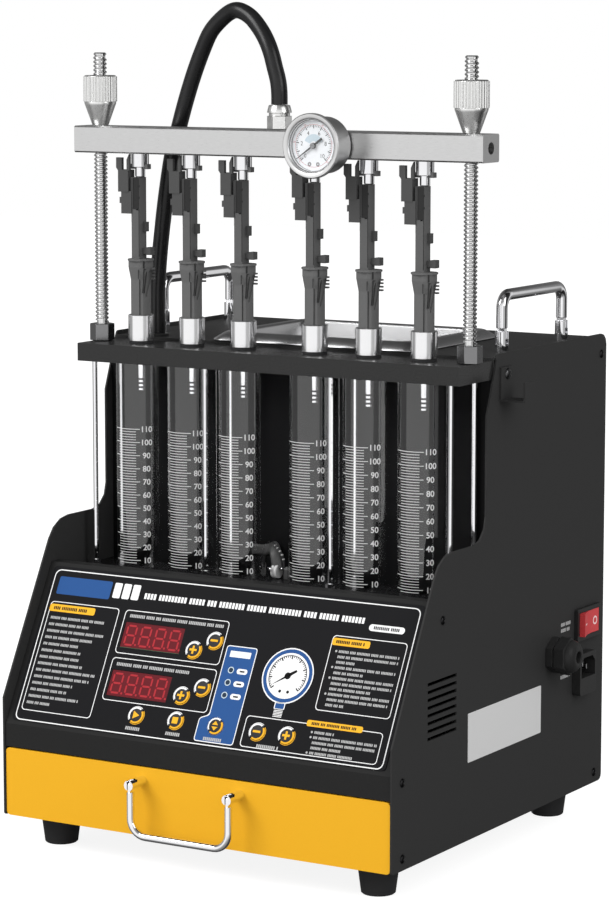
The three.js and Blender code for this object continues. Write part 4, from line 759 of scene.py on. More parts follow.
def make_keys():
    """Round caps in the film, each with a gold ring on its shoulder and on the film around it, white on its upper
    left as a painted highlight.
    """
    profile = [(0, -3.4), (7.2, -3.4), (7.2, -1.8), (6.4, -1.8), (6.4, 1.2), (6.2, 1.45), (5.1, 1.6), (0, 1.95)]
    sides = 72
    points, faces = lathe(profile, sides)
    tilt = Matrix.Rotation(math.pi / 2 - SLOPE, 3, "X")
    for key, (x, s, sign) in KEYS.items():
        cap = piece(f"key_{key}_cap", (points, faces), LOOKS.key_dark, on_slope(x, s), turn=tilt,
                    body=key, node=f"key_{key}")
        cap.data.materials.append(LOOKS.white_print)
        cap.data.materials.append(LOOKS.yellow_print)
        # Shoulder faces on the upper left get the white painted highlight, the others the gold
        for number, face in enumerate(faces):
            angle = (number % sides + 0.5) * 360 / sides
            if number // sides in (3, 4, 5) and len(face) == 4:
                if HIGHLIGHT_ARC[0] < angle < HIGHLIGHT_ARC[1]:
                    cap.data.polygons[number].material_index = 1
                elif angle > GOLD_ARC[0] or angle + 360 < GOLD_ARC[1]:
                    cap.data.polygons[number].material_index = 2
        for word, span, material in (("light", HIGHLIGHT_ARC, LOOKS.white_print),
                                     ("gold", GOLD_ARC, LOOKS.yellow_print)):
            printed(f"key_{key}_edge_{word}", [ring(x, s, 7.2, 6.72, *span)], material)
        printed(f"key_{key}_sign", key_sign(sign, x, s), LOOKS.yellow_print, KEY_TOP, key)


# The LED windows, each with its figures' level, its low and high edge and its left and right edge
WINDOWS = ((80.6, 70.9, 90.9, -86, -32.4), (42.3, 32.2, 52.4, -86.4, -32.4))
DIGIT_PITCH = 13.2


def make_displays():
    recoloured("display_board", "display_board_parts", lambda c: 0, [LOOKS.board_green], bevel=0)
    for number, (s, low, high, left, right) in enumerate(WINDOWS):
        printed(f"display_{number}_window", [patch(left, right, low, high)], LOOKS.display_red, 0.42)
        figures = []
        for k in range(4):
            figures += seven_bars(left + 7.0 + DIGIT_PITCH * k, s, 9.6, 16.6, 1.5)
            figures.append(disc(left + 13.2 + DIGIT_PITCH * k, low + 2.6, 0.9, 12))
        printed(f"display_{number}_figures", figures, LOOKS.segment_red, 0.5)


# The lengths of words in plain blocks, the gap between them, and the reach of each line in the list on the left
WORDS = (7, 4, 9, 5, 3, 8, 6, 10, 4, 6)
WORD_GAP = 0.7
LIST_LENGTHS = (50.4, 38.6, 54, 45, 33.2, 37.3, 37.6, 42.5, 56.5, 51.6, 37.6, 34.4, 46.9, 21.4)
# The frames printed on the film, as left, right, low and high edge
OUTLINE = (-162.5, 162.5, 3.9, 126.5)
LIST_BOX = (-159, -94.7, 12, 100.5)
UPPER_BOX = (-89, 5.2, 65.6, 100.4)
LOWER_BOX = (-89, 5.5, 28.2, 62.2)
PRESSURE_BOX = (40.6, 156.6, 6.9, 31)
CARE_BOX = (95.4, 158.3, 41.5, 99.4)


def words(x0, x1, s, size, first):
    """A line of small plain blocks in the lengths of words."""
    blocks = []
    step, wide = size * 0.62, size * 0.44
    number = first
    while x0 + step < x1:
        for _ in range(min(WORDS[number % len(WORDS)], int((x1 - x0) / step))):
            blocks.append(patch(x0, x0 + wide, s - size / 2, s + size / 2))
            x0 += step
        x0 += step * WORD_GAP
        number += 1
    return blocks


def paragraphs(x0, x1, top, pitch, size, counts):
    """Lines of plain blocks in groups, each group with a dot in front."""
    shapes = []
    line = 0
    for group, count in enumerate(counts):
        shapes.append(disc(x0 + size / 2, top - pitch * line, size * 0.45, 10))
        for k in range(count):
            end = x1 if k < count - 1 else x0 + (x1 - x0) * (0.35 + 0.17 * (group % 3))
            shapes += words(x0 + size * 1.6, end, top - pitch * line, size, 3 * line + group)
            line += 1
    return shapes


def heading_rows():
    """The small headings over the two displays, and under the start, stop, select and pressure keys."""
    shapes = []
    for s in (95.9, 57.2):
        shapes += words(-84, 2 if s > 80 else -17, s, 2.5, 2)
    for x0, x1 in ((-61, -47), (-25, -12), (8.5, 25), (55, 75)):
        shapes += words(x0, x1, 9.0, 2.6, 7)
    return shapes


def softened(points, radius, steps=4):
    """A closed outline with each of its corners rounded, starting at the radius from the corner."""
    outline = []
    for k, (x, y) in enumerate(points):
        (ax, ay), (bx, by) = [
            (x + (other[0] - x) * radius / math.dist((x, y), other),
             y + (other[1] - y) * radius / math.dist((x, y), other))
            for other in (points[k - 1], points[(k + 1) % len(points)])]
        for step in range(steps + 1):
            t = step / steps
            outline.append(((1 - t) ** 2 * ax + 2 * t * (1 - t) * x + t * t * bx,
                            (1 - t) ** 2 * ay + 2 * t * (1 - t) * y + t * t * by))
    return outline


# The levels of the three lamps on the blue strip, and of the labels beside them
LAMP_LEVELS, LABEL_LEVELS = (63.3, 53.6, 43.7), (63, 53.2, 43.4)
LAMP_X, LAMP_RADIUS, LAMP_RIM = 16.8, 1.9, 2.6


def strip_marks():
    """The strip's blue, its white frame and labels, its lamps and their rims."""
    strip = softened([(8.2, 82.2), (8.2, 27.5), (0.5, 24.4), (0.5, 6.4), (35.1, 6.4), (35.1, 82.2)], 2.6)
    inner = softened([(8.9, 81.5), (8.9, 27.0), (1.2, 23.9), (1.2, 7.1), (34.4, 7.1), (34.4, 81.5)], 2.0)
    blue = [polygon(*strip[::-1])]
    white = [band(strip, inner), patch(12.5, 30.5, 73.4, 78.2)]
    lozenges = [patch(22.0, 31.2, s - 2.1, s + 2.1, 2) for s in LABEL_LEVELS]
    lamps = [disc(LAMP_X, s, LAMP_RADIUS) for s in LAMP_LEVELS]
    rims = [ring(LAMP_X, s, LAMP_RIM, LAMP_RADIUS) for s in LAMP_LEVELS]
    return blue, white + lozenges, lamps, rims


def printed_gauge():
    """The gauge drawn on the film: its rings, ticks, hand, neck and thread."""
    x, s = 66, 64.3
    black = []
    for k in range(41):
        inner, half = (12.9, 0.5) if k % 5 == 0 else (14.0, 0.3)
        black.append(tick(x, s, 222 - 264 * k / 40, 15.8, inner, half))
    black += [polygon((x + 0.9, s - 1.2), (x + 7.4, s + 3.9), (x + 6.2, s + 5.3), (x - 0.9, s + 1.2)),
              polygon((x - 12.2, s - 8.3), (x + 0.6, s - 0.8), (x - 0.6, s + 0.8)), disc(x, s, 2.7)]
    black += [disc(x - 3.4, s - 12.2, 1.2), disc(x + 3.4, s - 12.2, 1.2), ring(x, s, 16.0, 15.4, -42, 222)]
    white = [ring(x, s, 21.6, 20.6), disc(x, s, 17.7, 48), border(61.2, 70.2, 38.2, 43.6, 0.7, 1)]
    threads = [patch(61.9, 69.5, 32.4 + 1.15 * k, 33.0 + 1.15 * k) for k in range(6)]
    return white + threads, [ring(x, s, 20.5, 17.8), patch(61.9, 69.5, 38.9, 42.9)], black


def make_console_print():
    repainted("control_overlay", LOOKS.overlay_film, 0.1)
    boxes = [border(*sides, 0.6, 3) for sides in (LIST_BOX, UPPER_BOX, LOWER_BOX, PRESSURE_BOX, CARE_BOX)]
    title = [patch(-105 + 8.5 * k, -98.2 + 8.5 * k, 108.4, 120.6, 1) for k in range(3)]
    title += words(-76, 119, 112.6, 4.6, 1) + [patch(123, 153, 105.6, 110.8, 2.5)]
    gauge_white, gauge_blue, gauge_black = printed_gauge()
    strip_blue, strip_white, lamps, rims = strip_marks()
    white = [border(*OUTLINE, 0.8, 5)] + boxes + title + strip_white + gauge_white
    tags = [patch(-159, -116.6, 92.4, 98.3, 1.5), patch(92, 139, 28.8, 33.6, 1.5),
            patch(95.7, 127.5, 91.8, 97.4, 1.5)]
    small = []
    for k, reach in enumerate(LIST_LENGTHS):
        small += words(-155.5, reach - 155.5, 87.4 - 5.3 * k, 2.1, k)
    small += paragraphs(100, 155, 87.4, 4.1, 2.0, (3, 2, 3, 3)) + paragraphs(97, 154, 24.8, 3.9, 2.0, (1, 3, 1))
    small += heading_rows()
    tag_words = words(-155, -121, 95.3, 2.6, 1) + words(96, 135, 31.2, 2.2, 3) + words(99, 124, 94.6, 2.4, 5)
    tag_words += words(127, 150, 108.2, 2.4, 2)
    lozenge_bars = [patch(24.5, 28.8, s - 0.6, s + 0.6) for s in LABEL_LEVELS]
    for name, shapes, material, lift in (
            ("white_lines", white, LOOKS.white_print, 0.02),
            ("blue_areas", [patch(-157, -107.5, 106.6, 121, 1.5)] + strip_blue + gauge_blue, LOOKS.blue_print, 0),
            ("tags", tags, LOOKS.yellow_print, 0.03),
            ("tag_words", tag_words, LOOKS.black_print, 0.05),
            ("small_words", small, LOOKS.small_print, 0.04),
            ("gauge_black_marks", gauge_black, LOOKS.black_print, 0.06),
            ("lamp_dots", lamps, LOOKS.lamp_blue, 0.05),
            ("lamp_rims", rims, LOOKS.sky_print, 0.05),
            ("lozenge_bars", lozenge_bars, LOOKS.black_print, 0.05)):
        printed(name, shapes, material, PRINT_LEVEL + lift)


# Tubes, tube plate, bench plate and cups

def around(angle, radius, z):
    """A point on a tube, its angle in degrees from the front towards the right."""
    a = math.radians(angle)
    return radius * math.sin(a), -radius * math.cos(a), z


def arc_mark(start, end, z, thick, radius, steps):
    angles = [start + (end - start) * k / steps for k in range(steps + 1)]
    points = [around(a, radius, z + half) for half in (-thick / 2, thick / 2) for a in angles]
    count = steps + 1
    return points, [(k, k + 1, count + k + 1, count + k) for k in range(steps)]


def tube_print():
    radius = TUBE_RADIUS + 0.04
    marks = []
    for k in range(MARKS):
        z = FIRST_MARK + MARK_STEP * k
        major = (k + 4) % 5 == 0
        span = (-41.6, 29.3) if major else (-27, 20.4)
        marks.append(arc_mark(*span, z, 0.54 if major else 0.48, radius, 16))
        if major:
            points, faces = glyphs(str(2 * (k + 4)), 4.6, 0.02)
            marks.append(([around(44 + math.degrees(x / radius), radius, z + y) for x, y, _ in points], faces))
    return joined(*marks)


def make_tubes():
    low, high = TUBE_PLATE + 0.3, BENCH_LOW - 0.3
    profile = [(3, low), (TUBE_RADIUS - 1, low), (TUBE_RADIUS, low + 1), (TUBE_RADIUS, high - 0.4),
               (TUBE_RADIUS - 0.4, high), (TUBE_BORE + 0.4, high), (TUBE_BORE, high - 0.4),
               (TUBE_BORE, low + TUBE_FLOOR + 1), (16.8, low + TUBE_FLOOR), (3, low + TUBE_FLOOR), (3, low)]
    glass = lathe(profile, 64)
    marks = tube_print()
    top = BENCH_LOW + 0.2
    barrel = lathe([(0, 353.4), (2.3, 353.4), (2.45, 353.7), (2.45, top), (0, top)], 24)
    groove = lathe([(0, TIP_BOTTOM + 0.4), (1.8, TIP_BOTTOM + 0.4), (1.8, 353.6), (0, 353.6)], 24)
    tip = joined(*[lathe([(1.7, low_z), (2.1, low_z), (2.35, low_z + 0.2), (2.35, high_z - 0.2), (2.1, high_z),
                          (1.7, high_z), (1.7, low_z)], 24)
                   for low_z, high_z in ((TIP_BOTTOM, 345.7), (346.9, 348.9), (350.1, 352.2))])
    for number, x in enumerate(COLUMNS, 1):
        at = (x, COLUMN_Y, 0)
        piece(f"tube_{number}_clear", glass, TUBE_CLEAR, at, node=f"tube_{number}")
        piece(f"tube_{number}_print", marks, LOOKS.scale_print, at)
        piece(f"nozzle_{number}_barrel", barrel, LOOKS.chrome, at)
        piece(f"nozzle_{number}_groove", groove, LOOKS.rubber, at)
        piece(f"nozzle_{number}_tip", tip, LOOKS.chrome, at)


def make_bench():
    def in_bore(c):
        return c.z > BENCH_LOW + 0.5 and min(abs(c.x - x) for x in COLUMNS) < 4 and abs(c.y - COLUMN_Y) < 4
    recoloured("tube_seat", "tube_plate", lambda c: 1 if c.z > TUBE_PLATE + 0.1 else 0,
               [LOOKS.gloss_black, LOOKS.chrome])
    recoloured("bench_plate", "bench_slab", lambda c: 0, [LOOKS.bench_black],
               lambda c: c.z < BENCH_TOP + 0.2 and not in_bore(c), 0.6)
    cup = lathe([(3, BENCH_LOW + 0.2), (3, 392.5), (CUP_BORE, 392.5), (CUP_BORE, CUP_TOP - 0.4), (8.8, CUP_TOP),
                 (9.6, CUP_TOP), (CUP_RADIUS, CUP_TOP - 0.5), (CUP_RADIUS, 383.4),
                 (9.6, 382.9), (8.9, 382.7), (8.9, 381.1), (3.2, 381.1), (3, BENCH_LOW + 0.2)], 56)
    gasket = lathe([(8.6, 381.0), (9.35, 381.0), (9.45, 382.0), (9.2, 382.7), (8.6, 382.7), (8.6, 381.0)], 48)
    for number, x in enumerate(COLUMNS, 1):
        at = (x, COLUMN_Y, 0)
        piece(f"cup_{number}", cup, LOOKS.cup_steel, at)
        piece(f"cup_{number}_gasket", gasket, LOOKS.rubber, at)


# Injectors

def make_injectors():
    """The mouldings, with the dark upper front, its two bands and the edge of the slot in each holder."""
    front = box(-3.2, 2.1, -5.25, -5.0, 93, 117.3)
    joint = box(-5.3, -3.0, -5.6, -5.0, 93.5, 117.4)
    bands = joined(*[box(0.9, 2.7, -5.45, -4.9, z, z + 1.6) for z in (101.0, 110.0)])
    seam = joined(box(3.1, 3.6, -7.05, -6.7, 9, 38.5), box(3.1, 3.6, -8.6, -8.3, 39, 46),
                  box(1.6, 2.1, -5.1, -4.9, 56, 92.5))
    corners = [(7.6, -6.6, 46.5), (7.6, -2.9, 46), (6.9, -5.8, 28), (6.2, -7.0, 28), (7.6, -6.6, 46.5)]
    window = joined(rod(corners, 0.4, 8), box(7.2, 7.8, -7.8, -6.4, 47.5, 53))
    for number, x in enumerate(COLUMNS, 1):
        at = (x, COLUMN_Y, SEAT)

        def pick(c, x=x):
            if c.z - SEAT < 54.5:
                return 0
            return 1 if abs(c.x - x + 1.5) < 3.7 and abs(c.y - COLUMN_Y) < 5.2 else 2
        greys = [LOOKS.grey_plastic, LOOKS.dark_grey_plastic, LOOKS.connector_grey]
        recoloured(f"injector_{number}", f"injector_{number}_moulding", pick, greys, bevel=0.25)
        piece(f"injector_{number}_front", front, LOOKS.sleeve_black, at)
        piece(f"injector_{number}_bands", bands, LOOKS.black_plastic, at)
        piece(f"injector_{number}_seam", seam, LOOKS.black_plastic, at)
        piece(f"injector_{number}_window", window, LOOKS.sleeve_black, at)
        piece(f"injector_{number}_joint", joint, LOOKS.side_grey, at)


# Rail, rods and nuts

def make_rail():
    recoloured("rail", "rail_bar", lambda c: 0, [LOOKS.satin_aluminium], lambda c: c.z > RAIL_LOW - 0.1,
               body="rail_group")
    adapter = lathe([(3.2, -10.7), (6.4, -10.7), (6.8, -10.2), (6.8, 0), (3.2, 0), (3.2, -10.7)], 40)
    neck = lathe([(0, -18.1), (3.4, -18.1), (3.9, -17.6), (3.9, -10.6), (0, -10.6)], 32)
    clip = joined(box(-7.5, -3.2, -2.6, 2.6, -12.1, -8.2), box(3.2, 8.5, -2.6, 2.6, -12.1, -8.2))
    for number, x in enumerate(COLUMNS, 1):
        at = (x, COLUMN_Y, RAIL_LOW)
        piece(f"adapter_{number}", adapter, LOOKS.chrome, at, body="rail_group")
        piece(f"neck_{number}", neck, LOOKS.chrome, at, body="rail_group")
        piece(f"clip_{number}", clip, LOOKS.grey_plastic, at, 0.3, body="rail_group")


def thread(radius, low, high, pitch, depth, sides=32):
    """A thread as one loop a point: a sharp crest and root that climb as a helix."""
    steps = int((high - low) / pitch * sides)
    points = []
    for k in range(steps + 1):
        a = 2 * math.pi * k / sides
        z = low + pitch * k / sides
        for r, rise in ((radius, 0.05), (radius, 0.3), (radius - depth, 0.58), (radius - depth, 0.78)):
            points.append((r * math.cos(a), r * math.sin(a), z + rise * pitch))
    faces = [(4 * k + j, 4 * k + 4 + j, 4 * k + 5 + j, 4 * k + 1 + j) for k in range(steps) for j in range(3)]
    faces += [(4 * k + 3, 4 * k + 7, 4 * (k + sides) + 4, 4 * (k + sides)) for k in range(steps - sides)]
    return points, faces


COUPLING_LOW = 381.3


def make_rods():
    low, high = 394.9, ROD_TOP - 0.4
    root = ROD_RADIUS - THREAD_DEPTH
    screw = thread(ROD_RADIUS, low, high - THREAD_PITCH, THREAD_PITCH, THREAD_DEPTH)
    core = lathe([(0, COUPLING_LOW), (root + 0.05, COUPLING_LOW), (root + 0.05, high - 2),
                  (ROD_RADIUS - 0.3, high - 1.2), (ROD_RADIUS - 0.3, ROD_TOP - 0.8), (root, ROD_TOP),
                  (0, ROD_TOP)], 32)
    coupling = slab(hexagon(17, 0.57), COUPLING_LOW, 394.6)
    for side, word in SIDES:
        at = (side * ROD_X, ROD_Y, 0)
        piece(f"stand_rod_{word}_thread", screw, LOOKS.thread_steel, at, node=f"stand_rod_{word}", angle=25)
        piece(f"stand_rod_{word}_core", core, LOOKS.thread_steel, at)
        piece(f"coupling_{word}", coupling, LOOKS.coupling_steel, at, 0.6)


NUT_TEETH = 32


def nut_form():
    outline = []
    for k in range(NUT_TEETH):
        for share, radius in ((0.0, 12.35), (0.28, 13.2), (0.62, 13.2), (0.9, 12.35)):
            a = 2 * math.pi * (k + share) / NUT_TEETH
            outline.append((radius * math.cos(a), radius * math.sin(a)))
    return slab(outline, 18.4, 37.8)


def make_nuts():
    knurl = nut_form()
    cone = lathe([(NUT_BORE, 0), (6.1, 0), (6.5, 0.6), (11.9, 15.6), (12.3, 16.6), (12.5, 18.0), (12.3, 18.6),
                  (NUT_BORE, 18.6), (NUT_BORE, 0)], 56)
    cap = lathe([(NUT_BORE, 37.6), (12.2, 37.6), (12.4, 38.1), (11.8, 38.7), (6.4, 38.7), (NUT_BORE, 38.0),
                 (NUT_BORE, 37.6)], 56)
    for side, word in SIDES:
        at = (side * ROD_X, ROD_Y, ON_RAIL)
        piece(f"nut_{word}_knurl", knurl, LOOKS.nut_steel, at, 0.2, body=f"{word}_nut", node=f"knurled_nut_{word}")
        piece(f"nut_{word}_cone", cone, LOOKS.nut_steel, at, body=f"{word}_nut")
        piece(f"nut_{word}_cap", cap, LOOKS.nut_steel, at, body=f"{word}_nut")


# The dial's marks, and the angle of its first mark and its whole turn in degrees; the needle's angle at rest
DIAL_STEPS, DIAL_START, DIAL_SWEEP = 50, 225, 270
TICK_OUTER = 15.4
NEEDLE_REST = 215


def make_gauge():
    at = (GAUGE_X, GAUGE_REAR, GAUGE_Z)
    on = {"at": at, "body": "rail_group", "turn": FACE_ON}
    case = lathe([(0, -1.2), (7, -1.2), (7, 0), (20.4, 0), (21.1, 0.8), (21.1, 19.6), (23.6, 20), (24.2, 20.6),
                  (24.2, 23.2), (23.4, 24), (21.2, 24), (20.2, 23.6), (19.4, 22.4), (19.4, 21.6),
                  (18.6, 21.6), (18.6, 18.6), (0, 18.6)], 72)
    piece("gauge_body", case, LOOKS.gauge_steel, angle=40, node="gauge_case", **on)
    piece("gauge_glass", lathe([(0, 22.2), (19.25, 22.2), (19.25, 23.0), (0, 23.3)], 64), LENS_CLEAR,
          node="gauge_lens", **on)
    piece("gauge_dial", lathe([(0, 18.62), (18.5, 18.62), (18.5, 18.9), (0, 18.9)], 64), LOOKS.dial_white, **on)
    # A black ring on the bezel's inner wall between the dial and the glass: painted shade for the deep bezel
    inner = lathe([(18.5, 18.9), (19.38, 18.9), (19.38, 21.7), (18.9, 21.7), (18.5, 18.9)], 64)
    piece("gauge_shade_ring", inner, LOOKS.black_plastic, **on)
    ticks, reds, numbers = [], [], []
    for k in range(DIAL_STEPS + 1):
        angle = DIAL_START - DIAL_SWEEP * k / DIAL_STEPS
        long, half = (2.6, 0.35) if k % 5 == 0 else (1.5, 0.2)
        ticks.append(tick(0, 0, angle, TICK_OUTER, TICK_OUTER - long, half))
        c, s = math.cos(math.radians(angle)), math.sin(math.radians(angle))
        if k % 10 == 0:
            numbers.append(moved(glyphs(str(2 * k // 10), 3.0), 10.4 * c, 10.4 * s))
            reds.append(moved(glyphs(str(3 * k // 10 * 10), 1.3), 17.0 * c, 17.0 * s))
    dots = [ring(x, -13.6, 1.6, 0.5) for x in (-3.6, 3.6)]
    for name, shapes, material, level in (
            ("gauge_ticks", ticks, LOOKS.black_print, 18.95),
            ("gauge_dots", dots, LOOKS.grey_print, 18.95),
            ("gauge_numbers", numbers, LOOKS.black_print, 18.95),
            ("gauge_tint", [ring(0, 0, 8.6, 3.4, 25, 155)], LOOKS.sky_print, 18.93),
            ("gauge_red_scale", reds + [ring(0, 0, 15.9, 15.65)], LOOKS.red_print, 18.96)):
        points, faces = joined(*shapes)
        piece(name, ([(x, y, level) for x, y, _ in points], faces), material, **on)
    needle = joined(
        slab([(-9.5, -0.9), (-3, -0.7), (17.4, -0.22), (17.4, 0.22), (-3, 0.7), (-9.5, 0.9)], 20.1, 20.5),
        lathe([(0, 19.2), (2.2, 19.2), (2.2, 20.7), (1.7, 21.0), (0, 21.0)], 32))
    turn = FACE_ON @ Matrix.Rotation(math.radians(NEEDLE_REST), 3, "Z")
    piece("needle_pointer", needle, LOOKS.black_print, at, turn=turn, body="needle", node="gauge_needle")
    hub = lathe([(0, 20.9), (2.0, 20.9), (1.9, 21.5), (0, 21.7)], 32)
    piece("needle_hub", hub, LOOKS.coupling_steel, at, turn=turn, body="needle")


def make_hose():
    fitting = joined(
        slab([(x, y) for x, y, _ in circle(9.5, 6, phase=0.5)], 0, 9.9),
        lathe([(0, 9.8), (8, 9.8), (8, 12.3), (0, 12.3)], 48))
    piece("fitting_hex", fitting, LOOKS.nut_steel, (0, ROD_Y, ON_RAIL), 0.5, body="rail_group", node="hose_fitting")
    ferrule = lathe([(6.4, 12.3), (9.3, 12.3), (9.3, 13.2), (8.2, 17.6), (7.8, 18.0), (6.4, 18.0), (6.4, 12.3)], 48)
    piece("fitting_ferrule", ferrule, LOOKS.nut_steel, (0, ROD_Y, ON_RAIL), body="rail_group")
    path = smooth_path(HOSE_ROUTE, 5)
    hose = piece("fuel_hose", rod(path, HOSE_RADIUS, 32), LOOKS.hose_rubber, body=None, node="hose")
    line = [place(*point) for point in path]
    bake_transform(hose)


# Drain pipe, right side fittings

DRAIN = (-3, 129.5)
# The flat drain hose from its union over the arch to the wall behind the third tube: the middle, the direction
# of its width, half its width and half its thickness
DRAIN_HOSE = (
    ((-3.6, 129.5, 212.5), (0.87, 0.5, 0), 4.3, 2.8), ((-4.4, 130, 217), (0.87, 0.5, 0), 4.4, 2.6),
    ((-6.2, 131.3, 222.6), (0.87, 0.48, 0.1), 4.5, 2.4), ((-9.2, 134.3, 226.6), (0.85, 0.4, 0.35), 4.5, 2.3),
    ((-13, 138.8, 227.6), (0.6, 0.1, 0.8), 4.4, 2.3), ((-17, 143.6, 225.8), (0.2, 0, 1), 4.3, 2.2),
    ((-22, 146.4, 223.8), (0, 0, 1), 4.1, 1.5), ((-29, 147.5, 222.6), (0, 0, 1), 4.0, 1.0),
    ((-38, 147.6, 222.4), (0, 0, 1), 4.0, 1.0),
)


def flat_hose(stations, steps=5, sides=24):
    """A hose with an oval section that widens and twists from one station to the next."""
    tracks = [smooth_path([middle for middle, _, _, _ in stations], steps),
              smooth_path([wide for _, wide, _, _ in stations], steps),
              smooth_path([(a, b, 0) for _, _, a, b in stations], steps)]
    loops = []
    for i, (middle, wide, size) in enumerate(zip(*tracks)):
        tangent = (tracks[0][min(i + 1, len(tracks[0]) - 1)] - tracks[0][max(i - 1, 0)]).normalized()
        across = (wide - tangent * wide.dot(tangent)).normalized()
        through = tangent.cross(across)
        loops.append([middle + across * size.x * math.cos(2 * math.pi * k / sides)
                      + through * size.y * math.sin(2 * math.pi * k / sides) for k in range(sides)])
    return rings(loops)


def make_drain():
    x, y = DRAIN
    piece("drain_hose", flat_hose(DRAIN_HOSE), LOOKS.drain_rubber, node="drain_pipe")
    union = moved(lathe([(0, -3), (5.2, -3), (5.5, -2.7), (5.5, -0.9), (4.9, -0.7), (4.9, -0.2), (5.5, 0),
                         (5.5, 1.6), (5.2, 2), (0, 2)], 40), matrix=SIDEWAYS)
    piece("drain_union", union, LOOKS.pale_union, (x - 1, y, TUBE_PLATE + 5.9))
    for word, dx, dy in (("front", -3.6, -5.0), ("rear", 3.4, 0.6)):
        stud = moved(lathe([(0, 0), (1.2, 0), (1.5, 0.4), (1.5, 3.0), (1.1, 3.6), (0, 3.6)], 20), matrix=FACE_ON)
        piece(f"drain_stud_{word}", stud, LOOKS.chrome, (x + dx, y + dy, TUBE_PLATE + 8.4))
    knob = lathe([(0, 0), (3.4, 0), (3.6, 0.5), (3.6, 7.5), (2.6, 9), (0, 9.4)], 32)
    piece("drain_knob", knob, LOOKS.drain_rubber, (x + 7.4, y + 2.5, TUBE_PLATE + 0.2))
    line = smooth_path([(1.6, 130.2, 213), (2.2, 129.4, 218.5), (0.6, 129.2, 223.5), (-2.8, 130.2, 227.2),
                        (-7.4, 132.6, 229.6), (-12.8, 137.6, 230.6)], 6)
    piece("drain_line", rod(line, 0.9, 14), LOOKS.rubber)
    # Small beads along the thin line, coloured pale as painted highlights
    bead = lathe([(0, -0.9), (0.8, -0.7), (1.15, 0), (0.8, 0.7), (0, 0.9)], 14)
    beads = [moved(bead, *line[k]) for k in range(8, 25, 4)]
    piece("drain_line_glint_beads", joined(*beads), LOOKS.small_print)


GLAND = (252.6, 142.1)


def make_gland():
    cap = [(4.5, 5), (12.6, 5), (12.9, 7), (12.9, 16.6), (12.4, 18.4), (11.2, 20.2), (9.6, 21.6),
           (7.6, 22.6), (5.6, 22.9), (4.9, 22.7), (4.5, 22.1), (4.5, 5)]
    stub = [(4.5, -11.8), (9.2, -11.8), (9.5, -11.5), (9.5, 0.1), (4.5, 0.1), (4.5, -11.8)]
    for name, form, bevel, node in (
            ("gland_nut", slab(hexagon(25.4), 0.05, 6), 0.7, "cable_gland"),
            ("gland_grip", slab(hexagon(26.4), 6.6, 16.2), 1.0, None),
            ("gland_cap", lathe(cap, 56), 0, None),
            ("gland_stub", lathe(stub, 40), 0, None)):
        piece(name, moved(form, matrix=SIDEWAYS), LOOKS.black_plastic, (HALF, *GLAND), bevel, node=node)


# The rocker's face, as (x, y) from its front end to its rear end
ROCKER_FACE = ((179.2, 294.5), (175.7, 306.5), (174.7, 314.4), (175.2, 326.9))
ROCKER_Z = 158.6
MARK_LIFT = 0.06


def make_rocker():
    """The two marks on the rocker, a bar on its front wing and a ring on its rear wing."""
    repainted("rocker_switch", LOOKS.red_plastic, 0.4)
    wings = (("bar", patch(297.2, 302.6, -0.6, 0.6), ROCKER_FACE[:2]),
             ("ring", ring(320.6, 0, 3.5, 2.2), ROCKER_FACE[2:]))
    for word, (points, faces), ((x0, y0), (x1, y1)) in wings:
        lean = (x1 - x0) / (y1 - y0)
        placed = [(x0 + (y - y0) * lean + MARK_LIFT, y, ROCKER_Z + z) for y, z, _ in points]
        piece(f"rocker_{word}", (placed, faces), LOOKS.rocker_white, body="rocker")


INLET = (301, 124.9)
PIN_REACH = (-9, 2.75)


def make_inlet():
    """The inlet block and the bright ends of its three pins."""
    repainted("power_inlet", LOOKS.black_plastic, 0.4)
    y, z = INLET
    pins = [box(*PIN_REACH, 7 * side - 1.1, 7 * side + 1.1, lift - 2.1, lift + 2.1)
            for side, lift in ((-1, -1.5), (0, 1.5), (1, -1.5))]
    piece("inlet_pins", joined(*pins), LOOKS.chrome, (HALF, y, z), 0.3)


LABEL_ROWS = ((162.8, 1), (158.1, 3), (121, 5))
LABEL_ENDS = (266.5, 284)
LABEL_SIZE = 2.8


def make_side_labels():
    """Rows of plain blocks where the switch and the inlet have their small labels."""
    rows = [block for z, first in LABEL_ROWS for block in words(*LABEL_ENDS, z, LABEL_SIZE, first)]
    piece("side_labels", joined(*rows), LOOKS.small_print, (HALF + MARK_LIFT, 0, 0), turn=SIDE_ON)


def make_right_side():
    make_side_labels()
    repainted("switch_bezel", LOOKS.black_plastic, 0.4)
    make_rocker()
    make_inlet()
    make_gland()


make_casing()
make_deck()
make_handles()
make_tank()
make_drawer()
make_keys()
make_displays()
make_console_print()
make_tubes()
make_bench()
make_injectors()
make_rail()
make_rods()
make_nuts()
make_gauge()
make_hose()
make_drain()
make_right_side()


# Floor, world and lights

FLOOR_REACH = 6.0
FLOOR_GLOW = 0.88
FLOOR_PAINT = 0.3
# The studio seen in gloss: its strength by direction, in degrees to the right of the camera, and its share by
# height
STUDIO = ((-180, 0.12), (-165, 0.3), (-86, 0.36), (-78, 1.0), (18, 1.0), (23, 0.5), (58, 0.45), (66, 0.04),
          (106, 0.04), (111, 0.7), (120, 0.7), (125, 0.22), (180, 0.12))
STUDIO_HEIGHTS = ((-1.0, 0.2), (-0.6, 0.35), (-0.3, 1.0), (0.3, 1.0), (0.55, 0.35), (1.0, 0.2))
CAMERA_SIDE = -58.8
FILL = 0.9
WHITE = (1, 1, 1, 1)
LIGHT_AIM = Vector((0, 0, 0.3))


